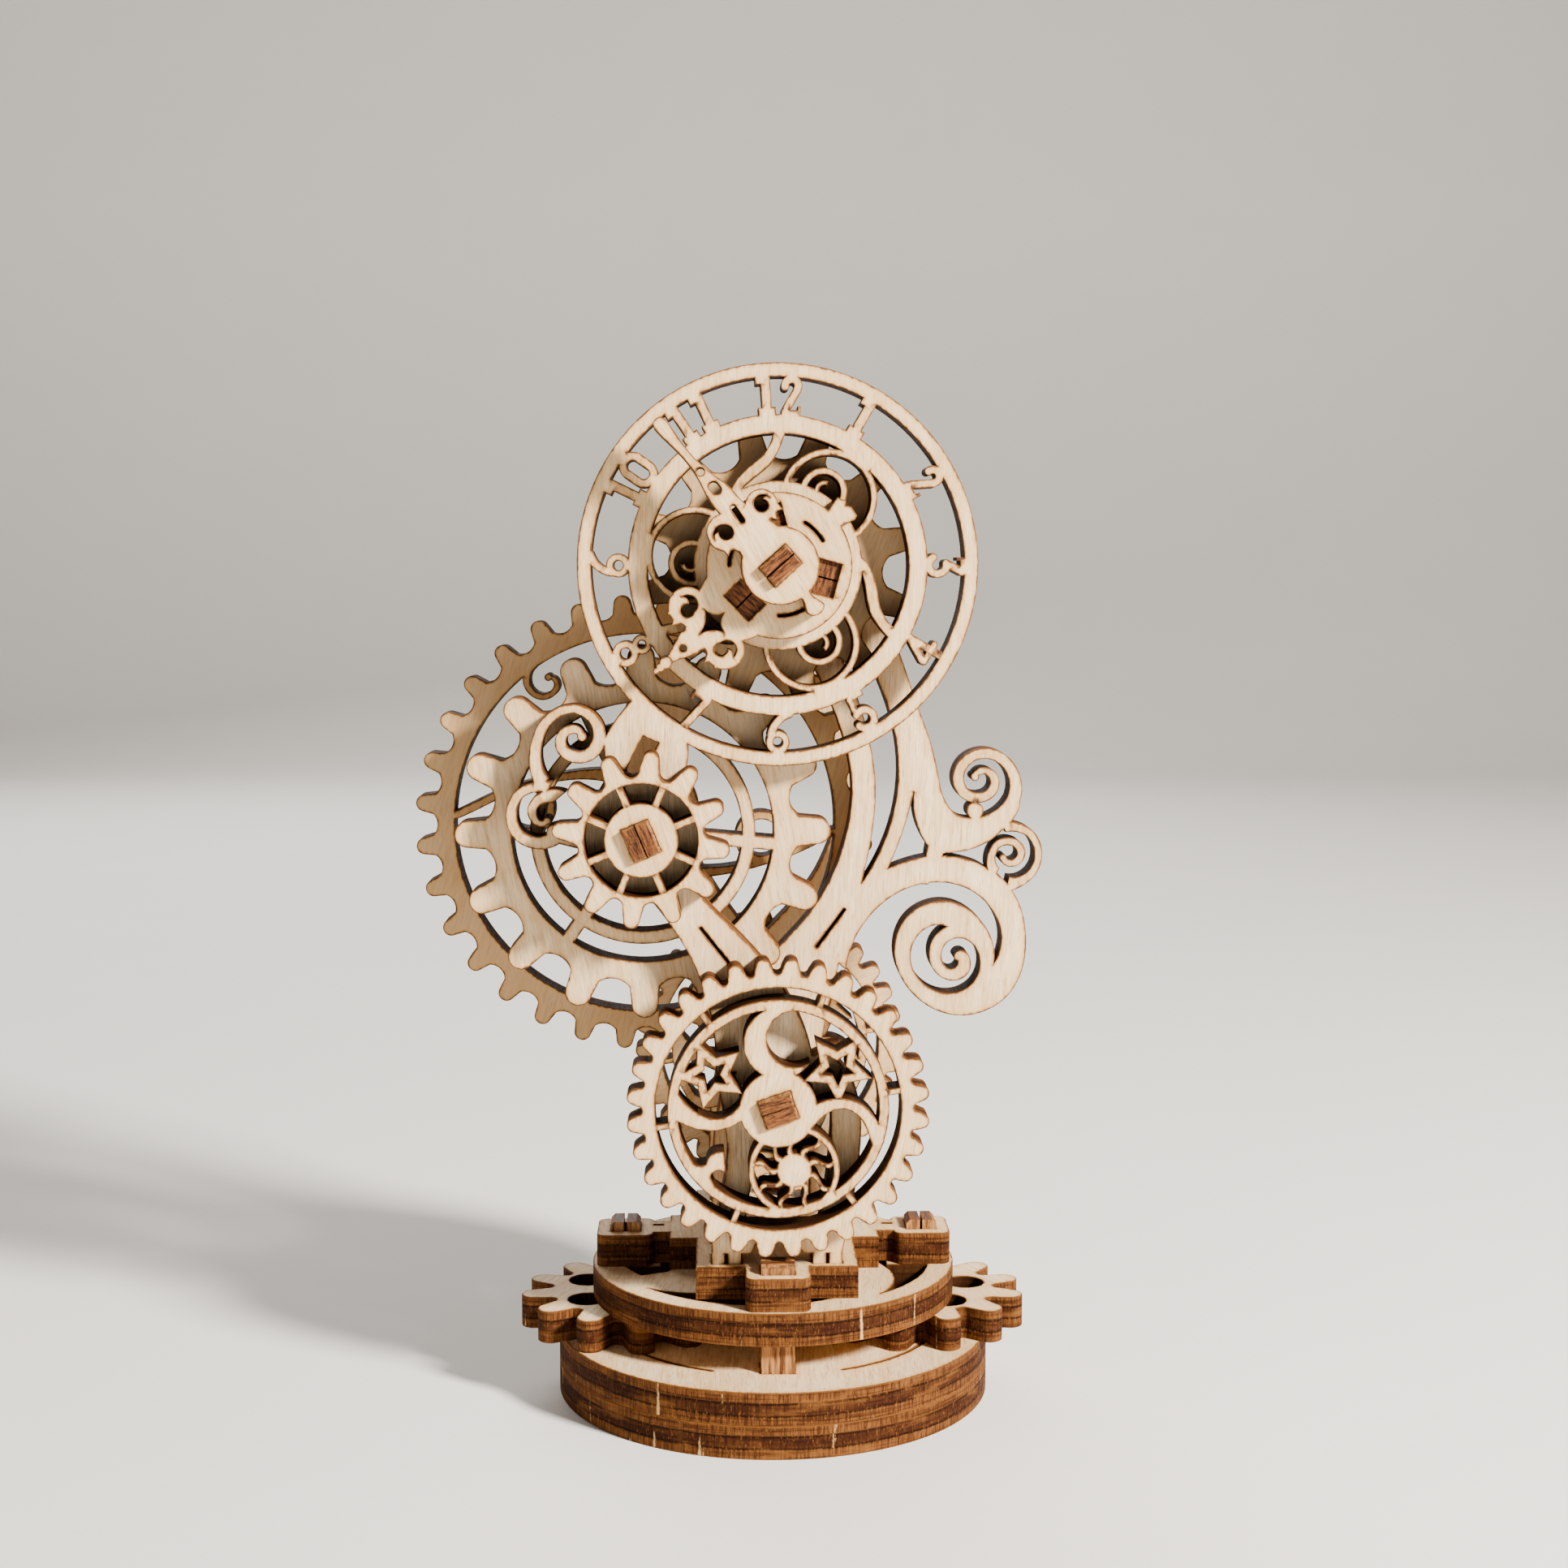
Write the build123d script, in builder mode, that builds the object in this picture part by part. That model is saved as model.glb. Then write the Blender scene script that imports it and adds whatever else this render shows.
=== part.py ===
"""Laser-cut plywood desk clock model: three plates, two gear trains, dial, two hands, round base.

Every piece is a flat sheet or a strip cut from one thickness of plywood. The clock faces -Y,
+X is to the viewer's right and +Z is up. The origin is the centre of the base's underside.
"""
from build123d import *
from math import atan2, cos, degrees, hypot, radians, sin
import os

# ---- driving dimensions (millimetres, degrees) -------------------------------------------
PLY = 3.0                      # thickness of the plywood sheet

BASE_RADIUS = 20.3
RING_RADIUS = 17.1
PEG_CIRCLE = 14.0              # radius of the circle that the four base pegs stand on
PEG_WIDTH = 2.8
PEG_PROUD = 0.9                # how far the pegs stand out of the socket
PEG_FLOOR = 0.4                # how far above the table the pegs stop
SPACER_GEAR_CENTRE = 13.6

DRIVE_AXIS = (0.0, 29.85)      # (X, Z) of the three axles
MIDDLE_AXIS = (-12.0, 53.70)
DIAL_AXIS = (0.0, 77.55)
AXLE_LONG = 3.0
AXLE_SHORT = 2.5
MINUTE_AXLE_SHORT = 2.1
AXLE_CLEARANCE = 0.05          # radial play of an axle's corners in a round hole
AXLE_PROUD = 0.8
SLIT = 0.25

# front face of each sheet, as Y
MINUTE_HAND_Y = -18.2
HAND_Y = -15.1                 # hour hand, front drive gear and cap gear
DIAL_Y = -12.0
WHEEL_Y = -8.85                # 16-tooth wheel and 12-tooth hour wheel
SCROLL_Y = -5.7
TRAIN_Y = -1.5                 # 32-tooth wheel and the two pinions
REAR_Y = 9.0
REAR_GEAR_Y = 12.1

BIG_TEETH = 32
PINION_TEETH = 10
MIDDLE_TEETH = 16
HOUR_TEETH = 12
CAP_TEETH = 12
DRIVE_TEETH = 32
SPACER_TEETH = 12

# angle of one tooth of each wheel, from +X towards +Z
BIG_PHASE = 5.75
MIDDLE_PHASE = 0.5
CAP_PHASE = 23.0
DRIVE_PHASE = 6.1
REAR_DRIVE_PHASE = 2.0

DRIVE_AXLE_TURN = 19.0         # direction of the long side of each axle's section
MIDDLE_AXLE_TURN = -67.0
MINUTE_AXLE_TURN = 41.6

DIAL_RADIUS = 17.6
RIM_INNER = 16.35
TRACK_OUTER = 13.15
TRACK_INNER = 11.45
COLLAR_OUTER = 7.4
COLLAR_HOLE = 5.55

HOUR_DISC_RADIUS = 6.33
HOUR_PEG_RADIUS = 4.2
HOUR_PEG_LONG = 3.0
HOUR_PEG_SHORT = 2.0
HOUR_PEG_ANGLES = (-15.0, 105.0, 225.0)
HOUR_ANGLE = 220.6
MINUTE_ANGLE = 130.7

FOOT_INNER = 3.2
FOOT_OUTER = 5.9
SOCKET_TOP = 5 * PLY
SHOULDER_Z = SOCKET_TOP + 0.9

# ---- derived dimensions --------------------------------------------------------------------
LINK = hypot(MIDDLE_AXIS[0] - DRIVE_AXIS[0], MIDDLE_AXIS[1] - DRIVE_AXIS[1])
LINK_ANGLE = degrees(atan2(MIDDLE_AXIS[1] - DRIVE_AXIS[1], MIDDLE_AXIS[0] - DRIVE_AXIS[0]))
DIAL_LINK_ANGLE = degrees(atan2(DIAL_AXIS[1] - MIDDLE_AXIS[1], DIAL_AXIS[0] - MIDDLE_AXIS[0]))
BIG_PITCH = LINK * BIG_TEETH / (BIG_TEETH + PINION_TEETH)
PINION_PITCH = LINK - BIG_PITCH
MIDDLE_PITCH = LINK * MIDDLE_TEETH / (MIDDLE_TEETH + HOUR_TEETH)
HOUR_PITCH = LINK - MIDDLE_PITCH


def mate_phase(line_angle, teeth, phase, mate_teeth):
    """Tooth angle of a gear that meshes with a gear at the other end of a line of centres."""
    offset = (line_angle - phase) * teeth / 360
    return line_angle + 180 - 360 / mate_teeth * (0.5 - offset)


PINION_PHASE = mate_phase(LINK_ANGLE + 180, BIG_TEETH, BIG_PHASE, PINION_TEETH)
MINUTE_PINION_PHASE = mate_phase(DIAL_LINK_ANGLE, BIG_TEETH, BIG_PHASE, PINION_TEETH)
HOUR_PHASE = mate_phase(DIAL_LINK_ANGLE, MIDDLE_TEETH, MIDDLE_PHASE, HOUR_TEETH)


# ---- drawing helpers ---------------------------------------------------------------------
def at(radius, angle, centre=(0.0, 0.0)):
    """Point at a radius and an angle from a centre."""
    return (centre[0] + radius * cos(radians(angle)), centre[1] + radius * sin(radians(angle)))


def layer(front, centre=(0.0, 0.0)):
    """Sketch plane on the back of the upright sheet whose front face is at Y = front."""
    return Plane(origin=(centre[0], front + PLY, centre[1]), x_dir=(1, 0, 0), z_dir=(0, -1, 0))


def gear_blank(teeth, phase, tip, shoulder, foot, root, top_width, foot_width):
    """Filled outline of a gear with straight-sided teeth, round tips and round gaps."""
    half_top = degrees(top_width / 2 / shoulder)
    half_foot = degrees(foot_width / 2 / foot)
    step = 360 / teeth
    with BuildLine() as outline:
        for tooth in range(teeth):
            angle = phase + step * tooth
            Line(at(foot, angle - half_foot), at(shoulder, angle - half_top))
            ThreePointArc(at(shoulder, angle - half_top), at(tip, angle), at(shoulder, angle + half_top))
            Line(at(shoulder, angle + half_top), at(foot, angle + half_foot))
            ThreePointArc(
                at(foot, angle + half_foot),
                at(root, angle + step / 2),
                at(foot, angle + step - half_foot),
            )
    make_face(outline.edges())


def ribbon(stations, centre=(0.0, 0.0), mode=Mode.ADD):
    """Curved band through (angle, radius, width) stations; a width of 0 ends it in a point."""
    outer = [at(radius + width / 2, angle, centre) for angle, radius, width in stations]
    inner = [at(radius - width / 2, angle, centre) for angle, radius, width in stations]
    with BuildLine() as outline:
        Spline(*outer)
        Spline(*inner)
        if stations[0][2] > 0:
            Line(outer[0], inner[0])
        if stations[-1][2] > 0:
            Line(outer[-1], inner[-1])
    make_face(outline.edges(), mode=mode)


def curl(stations, centre, end_radius):
    """Curved band that ends in a small disc."""
    ribbon(stations, centre)
    angle, radius, width = stations[-1]
    with Locations(at(radius, angle, centre)):
        Circle(end_radius)


def stroke(start, end, width, mode=Mode.ADD):
    """Straight bar with round ends between two points."""
    middle = ((start[0] + end[0]) / 2, (start[1] + end[1]) / 2)
    run = (end[0] - start[0], end[1] - start[1])
    with Locations(middle):
        SlotCenterToCenter(hypot(*run), width, rotation=degrees(atan2(run[1], run[0])), mode=mode)


def arc_stroke(centre, radius, start, sweep, width, mode=Mode.ADD):
    """Curved bar with round ends along part of a circle."""
    with BuildLine(mode=Mode.PRIVATE) as path:
        CenterArc(centre, radius, start, sweep)
    SlotArc(path.edge(), width, mode=mode)


def blob(left, right, mode=Mode.ADD):
    """Closed shape between a left and a right edge, each a smooth curve from top to bottom."""
    with BuildLine() as outline:
        Spline(*left)
        Spline(*right)
        Line(left[0], right[0])
        Line(left[-1], right[-1])
    make_face(outline.edges(), mode=mode)


def annulus(outer, inner):
    """Flat ring about the sketch's origin."""
    Circle(outer)
    Circle(inner, mode=Mode.SUBTRACT)


def square_hole(long_side, short_side, turn):
    """Rectangular hole that grips an axle."""
    Rectangle(long_side, short_side, rotation=turn, mode=Mode.SUBTRACT)


def corner_radius(long_side, short_side):
    """Radius that the corners of a rectangular axle sweep."""
    return hypot(long_side, short_side) / 2


AXLE_HOLE = corner_radius(AXLE_LONG, AXLE_SHORT) + AXLE_CLEARANCE
MINUTE_HOLE = corner_radius(AXLE_LONG, MINUTE_AXLE_SHORT) + AXLE_CLEARANCE


def save(builder, name):
    """Label a finished piece and write it to its own file."""
    builder.part.label = name
    export_step(builder.part, f"parts/{name}.step")


# ---- base ------------------------------------------------------------------------------------
def peg_slots():
    """Four holes for the base pegs."""
    with PolarLocations(PEG_CIRCLE, 4):
        Rectangle(PEG_WIDTH, PLY, mode=Mode.SUBTRACT)


def make_base():
    with BuildPart() as lower_disc:
        with BuildSketch(Plane.XY):
            Circle(BASE_RADIUS)
            peg_slots()
        extrude(amount=PLY)
    save(lower_disc, "base_disc_lower")

    score_radius = 15.6
    score_width = 0.2
    score_depth = 0.15
    with BuildPart() as upper_disc:
        with BuildSketch(Plane.XY.offset(PLY)):
            Circle(BASE_RADIUS)
            peg_slots()
        extrude(amount=PLY)
        with BuildSketch(Plane.XY.offset(2 * PLY)):
            for start in (207, 292):
                arc_stroke((0, 0), score_radius, start, 41, score_width)
        extrude(amount=-score_depth, mode=Mode.SUBTRACT)
    save(upper_disc, "base_disc_upper")

    for name, side, phase in (("spacer_gear_left", -1, 8.0), ("spacer_gear_right", 1, 14.0)):
        with BuildPart() as spacer_gear:
            with BuildSketch(Plane.XY.offset(2 * PLY)):
                with BuildSketch(Plane.XY, mode=Mode.PRIVATE) as blank:
                    gear_blank(SPACER_TEETH, phase, 10.3, 9.6, 8.0, 7.4, 2.3, 2.9)
                    with PolarLocations(5.0, 5, start_angle=146 if side < 0 else 13):
                        Circle(1.8, mode=Mode.SUBTRACT)
                with Locations((side * SPACER_GEAR_CENTRE, 0)):
                    add(blank.sketch)
                with Locations((side * PEG_CIRCLE, 0)):
                    Rectangle(PEG_WIDTH, PLY, mode=Mode.SUBTRACT)
            extrude(amount=PLY)
        save(spacer_gear, name)

    with BuildPart() as ring:
        with BuildSketch(Plane.XY.offset(3 * PLY)):
            Circle(RING_RADIUS)
            for quarter in range(4):
                turn = 90 * quarter
                comma = [(219, 14.9, 0), (232, 14.3, 1.1), (248, 13.2, 3.2), (262, 12.2, 4.9)]
                comma += [(275, 11.8, 5.0), (286, 11.9, 4.0), (294, 12.2, 2.6)]
                ribbon([(angle + turn, radius, width) for angle, radius, width in comma], mode=Mode.SUBTRACT)
            with PolarLocations(PEG_CIRCLE - 0.4, 4):
                Rectangle(6.0, 5.6)
            peg_slots()
        extrude(amount=PLY)
    save(ring, "base_ring")

    with BuildPart() as socket:
        with BuildSketch(Plane.XY.offset(4 * PLY)):
            Rectangle(2 * 7.3, 2 * 12.9)
            Rectangle(2 * 9.8, 2 * 3.9)
            Rectangle(2 * 12.6, 2 * 1.8)
            with PolarLocations(PEG_CIRCLE, 4):
                RectangleRounded(5.3, 5.8, 0.9)
            for side in (-1, 1):
                with Locations((0, side * 13.0)):
                    Rectangle(5.8, 3.0)
                with Locations((side * 10.9, 0.6)):
                    Rectangle(0.9, 0.45, mode=Mode.SUBTRACT)
            peg_slots()
            foot_middle = (FOOT_INNER + FOOT_OUTER) / 2
            for front in (DIAL_Y, SCROLL_Y, REAR_Y):
                with Locations((-foot_middle, front + PLY / 2), (foot_middle, front + PLY / 2)):
                    Rectangle(FOOT_OUTER - FOOT_INNER, PLY, mode=Mode.SUBTRACT)
        extrude(amount=PLY)
    save(socket, "frame_socket")

    peg_height = SOCKET_TOP + PEG_PROUD - PEG_FLOOR
    for name, angle in (("right", 0), ("rear", 90), ("left", 180), ("front", 270)):
        with BuildPart() as peg:
            with BuildSketch(Plane.XY.offset(PEG_FLOOR)):
                with Locations(at(PEG_CIRCLE, angle)):
                    Rectangle(PEG_WIDTH, PLY, rotation=angle)
            extrude(amount=peg_height)
            top_edges = peg.faces().sort_by(Axis.Z)[-1].edges().sort_by(SortBy.LENGTH)[-2:]
            chamfer(top_edges, 0.35)
            with BuildSketch(Plane.XY.offset(SOCKET_TOP + PEG_PROUD)):
                with Locations(at(PEG_CIRCLE, angle)):
                    Rectangle(SLIT, PLY + 1, rotation=angle)
            extrude(amount=-3.6, mode=Mode.SUBTRACT)
        save(peg, f"base_peg_{name}")


# ---- dial plate ------------------------------------------------------------------------------
NUMERAL_MIDDLE = (RIM_INNER + TRACK_OUTER) / 2
PEN = 0.74


def glyph_zero():
    SlotOverall(3.6, 2.5, rotation=90)
    SlotOverall(2.1, 0.9, rotation=90, mode=Mode.SUBTRACT)


def glyph_one():
    Rectangle(0.88, 3.6)
    with Locations((0, -1.4)):
        Rectangle(1.55, 0.8)
    with Locations((-0.6, 1.4)):
        Rectangle(0.6, 0.8)


def glyph_two():
    arc_stroke((0.0, 0.86), 0.58, 190, -215, PEN)
    stroke((0.55, 0.6), (-0.3, -1.1), PEN)
    with Locations((0.1, -1.5)):
        Rectangle(1.7, 0.6)
    with Locations((0.8, -1.1)):
        Rectangle(0.3, 0.5)


def glyph_three():
    with Locations((0, 1.5)):
        Rectangle(1.5, 0.6)
    with Locations((-0.62, 1.15)):
        Rectangle(0.3, 0.5)
    stroke((0.5, 1.4), (-0.1, 0.25), PEN)
    arc_stroke((-0.1, -0.75), 0.78, 100, -250, PEN)


def glyph_four():
    stroke((0.35, 1.5), (-0.85, -0.5), PEN)
    stroke((-0.85, -0.62), (0.95, -0.62), 0.58)
    with Locations((0.35, 0)):
        Rectangle(0.72, 3.6)


def glyph_five():
    with Locations((0.15, 1.5)):
        Rectangle(1.5, 0.6)
    stroke((-0.42, 1.4), (-0.5, 0.1), 0.6)
    arc_stroke((-0.05, -0.72), 0.8, 128, -285, PEN)


def glyph_six():
    with Locations((0, -0.76)):
        Circle(1.05)
        Circle(0.42, mode=Mode.SUBTRACT)
    arc_stroke((1.75, -0.55), 2.4, 170, -62, PEN)


def glyph_seven():
    with Locations((0, 1.5)):
        Rectangle(1.8, 0.6)
    with Locations((-0.8, 1.1)):
        Rectangle(0.3, 0.5)
    stroke((0.55, 1.3), (-0.15, -1.7), PEN)


def glyph_eight():
    with Locations((0, 0.95)):
        Circle(0.88)
        Circle(0.32, mode=Mode.SUBTRACT)
    with Locations((0, -0.7)):
        Circle(1.15)
        Circle(0.48, mode=Mode.SUBTRACT)


def glyph_nine():
    with Locations((0, 0.76)):
        Circle(1.05)
        Circle(0.42, mode=Mode.SUBTRACT)
    arc_stroke((-1.75, 0.55), 2.4, -10, -62, PEN)


GLYPHS = {
    "0": glyph_zero, "1": glyph_one, "2": glyph_two, "3": glyph_three, "4": glyph_four,
    "5": glyph_five, "6": glyph_six, "7": glyph_seven, "8": glyph_eight, "9": glyph_nine,
}
INWARD_TOPS = (4, 5, 6, 7, 8, 9)      # hours whose numerals stand with their tops to the centre
DIGIT_STEP = 8.4                      # degrees between the two digits of 10, 11 and 12


def digit_sketch(digit):
    """One numeral, centred, upright."""
    with BuildSketch(Plane.XY) as glyph:
        GLYPHS[digit]()
    return glyph.sketch


def numerals():
    """The twelve hours, as bridges between the rim and the inner track."""
    for hour in range(1, 13):
        text = str(hour)
        inward = hour in INWARD_TOPS
        for place, digit in enumerate(text):
            offset = (place - (len(text) - 1) / 2) * DIGIT_STEP
            angle = 90 - 30 * hour - offset
            turn = angle + 90 if inward else angle - 90
            glyph = digit_sketch(digit)
            with Locations(Location(at(NUMERAL_MIDDLE, angle), turn)):
                add(glyph)


def dial_ornament():
    """Three equal groups of a curved spoke, a large loop, a small loop and a hook."""
    for turn in (0, 120, 240):
        outer = [(92, 11.7), (94, 10.6), (98, 9.7), (106, 9.0), (116, 8.3), (127, 7.3)]
        inner = [(87, 11.5), (89, 10.3), (93, 9.1), (101, 8.2), (111, 7.6), (121, 7.1)]
        with BuildLine() as outline:
            left = [at(radius, angle + turn) for angle, radius in outer]
            right = [at(radius, angle + turn) for angle, radius in inner]
            Spline(*left)
            Spline(*right)
            Line(left[0], right[0])
            Line(left[-1], right[-1])
        make_face(outline.edges())
        with BuildLine() as outline:
            ThreePointArc(at(7.1, 21.5 + turn), at(11.35, 53.3 + turn), at(7.1, 85 + turn))
            ThreePointArc(at(7.1, 45.0 + turn), at(9.35, 58.3 + turn), at(7.1, 72 + turn))
        trace(outline.edges(), line_width=0.58)
        with BuildLine() as outline:
            ThreePointArc(at(7.2, 62 + turn), at(7.9, 63 + turn), at(8.35, 59 + turn))
        trace(outline.edges(), line_width=0.4)


def dial_plate_scrolls():
    """Two curls on the left edge of the arm."""
    upper = (-17.86, 62.05)
    curl([(234, 4.7, 1.5), (210, 4.0, 1.25), (180, 3.35, 1.03), (135, 3.05, 0.9), (90, 2.93, 0.83),
          (45, 2.55, 1.0), (0, 2.05, 1.28), (-45, 1.6, 1.22), (-90, 1.27, 1.14), (-135, 1.24, 1.08),
          (-180, 1.26, 1.0), (-225, 1.24, 0.9), (-270, 1.15, 0.8), (-320, 0.8, 0.65)], upper, 0.42)
    lower = (-21.35, 55.7)
    ribbon([(62, 2.75, 1.1), (90, 2.4, 0.9), (130, 2.25, 0.9), (180, 2.15, 1.0), (235, 2.4, 1.05),
            (285, 2.6, 1.2), (325, 2.6, 1.6)], lower)
    curl([(40, 2.3, 1.6), (75, 1.55, 1.3), (110, 1.05, 1.05), (160, 0.7, 0.9), (215, 0.62, 0.75),
          (270, 0.8, 0.62), (320, 0.9, 0.55)], (lower[0] + 0.35, lower[1]), 0.36)
    stroke((-19.6, 54.0), (-16.4, 53.2), 1.7)


def plate_feet(inner=FOOT_INNER, outer=FOOT_OUTER):
    """Two slit feet that stand in the socket, with the bar that joins them."""
    height = SHOULDER_Z - 4 * PLY
    for side in (-1, 1):
        with Locations((side * (inner + outer) / 2, 4 * PLY + height / 2)):
            Rectangle(outer - inner, height)
    with Locations((0, SHOULDER_Z + 1.3)):
        Rectangle(2 * outer, 2.6)
    with BuildLine() as outline:
        ThreePointArc((-2.3, SHOULDER_Z), (0, SHOULDER_Z + 1.7), (2.3, SHOULDER_Z))
        Line((2.3, SHOULDER_Z), (-2.3, SHOULDER_Z))
    make_face(outline.edges(), mode=Mode.SUBTRACT)
    for side in (-1, 1):
        with Locations((side * (inner + outer) / 2, 4 * PLY + 1.8)):
            Rectangle(SLIT, 4.2, mode=Mode.SUBTRACT)


def make_dial_plate():
    with BuildPart() as dial_plate:
        with BuildSketch(layer(DIAL_Y)):
            with BuildSketch(Plane.XY, mode=Mode.PRIVATE) as dial:
                annulus(DIAL_RADIUS, RIM_INNER)
                with BuildSketch(Plane.XY, mode=Mode.PRIVATE) as track:
                    annulus(TRACK_OUTER, TRACK_INNER)
                with BuildSketch(Plane.XY, mode=Mode.PRIVATE) as collar:
                    annulus(COLLAR_OUTER, COLLAR_HOLE)
                add(track.sketch)
                add(collar.sketch)
                numerals()
                dial_ornament()
                Circle(COLLAR_HOLE, mode=Mode.SUBTRACT)
            with Locations(DIAL_AXIS):
                add(dial.sketch)
            # arm from the dial down to the middle axle
            blob([(-12.6, 66.0), (-14.1, 64.3), (-15.3, 61.8), (-15.2, 59.2), (-16.6, 56.5),
                  (-16.6, 53.0)],
                 [(-8.4, 63.2), (-8.0, 62.2), (-7.9, 60.6), (-8.2, 58.6), (-7.8, 56.0), (-7.6, 53.0)])
            dial_plate_scrolls()
            with Locations(MIDDLE_AXIS):
                Circle(5.2)
            # arm from the middle axle down to the drive axle
            blob([(-14.2, 50.6), (-11.6, 48.4), (-9.6, 45.9), (-7.7, 42.8), (-6.4, 39.4), (-5.7, 36.0),
                  (-5.5, 32.5)],
                 [(-7.6, 50.4), (-6.6, 48.2), (-4.1, 45.6), (-1.9, 43.3), (0.4, 40.4), (2.4, 36.6),
                  (3.4, 32.5)])
            with Locations(DRIVE_AXIS):
                Circle(4.6)
            # two legs
            blob([(-5.5, 33.0), (-4.9, 29.0), (-4.5, 25.0), (-5.2, 20.5), (-FOOT_OUTER, SHOULDER_Z)],
                 [(-1.6, 31.0), (-1.9, 27.5), (-2.1, 24.0), (-2.6, 20.5), (-FOOT_INNER, SHOULDER_Z)])
            blob([(2.0, 33.5), (4.5, 30.5), (4.8, 26.5), (4.2, 21.0), (FOOT_INNER, SHOULDER_Z)],
                 [(4.2, 34.5), (7.2, 30.5), (7.5, 26.0), (6.8, 20.5), (FOOT_OUTER, SHOULDER_Z)])
            plate_feet()
            with Locations(MIDDLE_AXIS, DRIVE_AXIS):
                Circle(AXLE_HOLE, mode=Mode.SUBTRACT)
            with BuildLine() as outline:
                Polyline((-11.9, 62.6), (-10.5, 62.0), (-12.2, 58.7), (-13.5, 59.3), (-11.9, 62.6))
            make_face(outline.edges(), mode=Mode.SUBTRACT)
            stroke((-6.8, 45.5), (-4.2, 42.2), SLIT, mode=Mode.SUBTRACT)
        extrude(amount=PLY)
    save(dial_plate, "dial_plate")


# ---- scroll plate and rear frame -------------------------------------------------------------
def left_strip(shift=0.0):
    """Long curved strip from the drive axle up to the dial axle."""
    blob([(-1.5 + shift, 76.0), (1.6 + shift, 71.5), (4.4 + shift, 66.5), (6.2 + shift, 61.8),
          (6.95, 57.5), (6.3, 52.6), (4.0, 47.2), (0.4, 42.9), (-3.0, 39.0), (-4.0, 32.0)],
         [(2.6 + shift, 77.0), (4.6 + shift, 72.3), (6.9 + shift, 67.2), (8.4 + shift, 62.4),
          (9.1, 58.4), (8.9, 53.6), (7.9, 48.7), (6.5, 43.6), (5.2, 38.5), (4.0, 32.0)])


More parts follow.
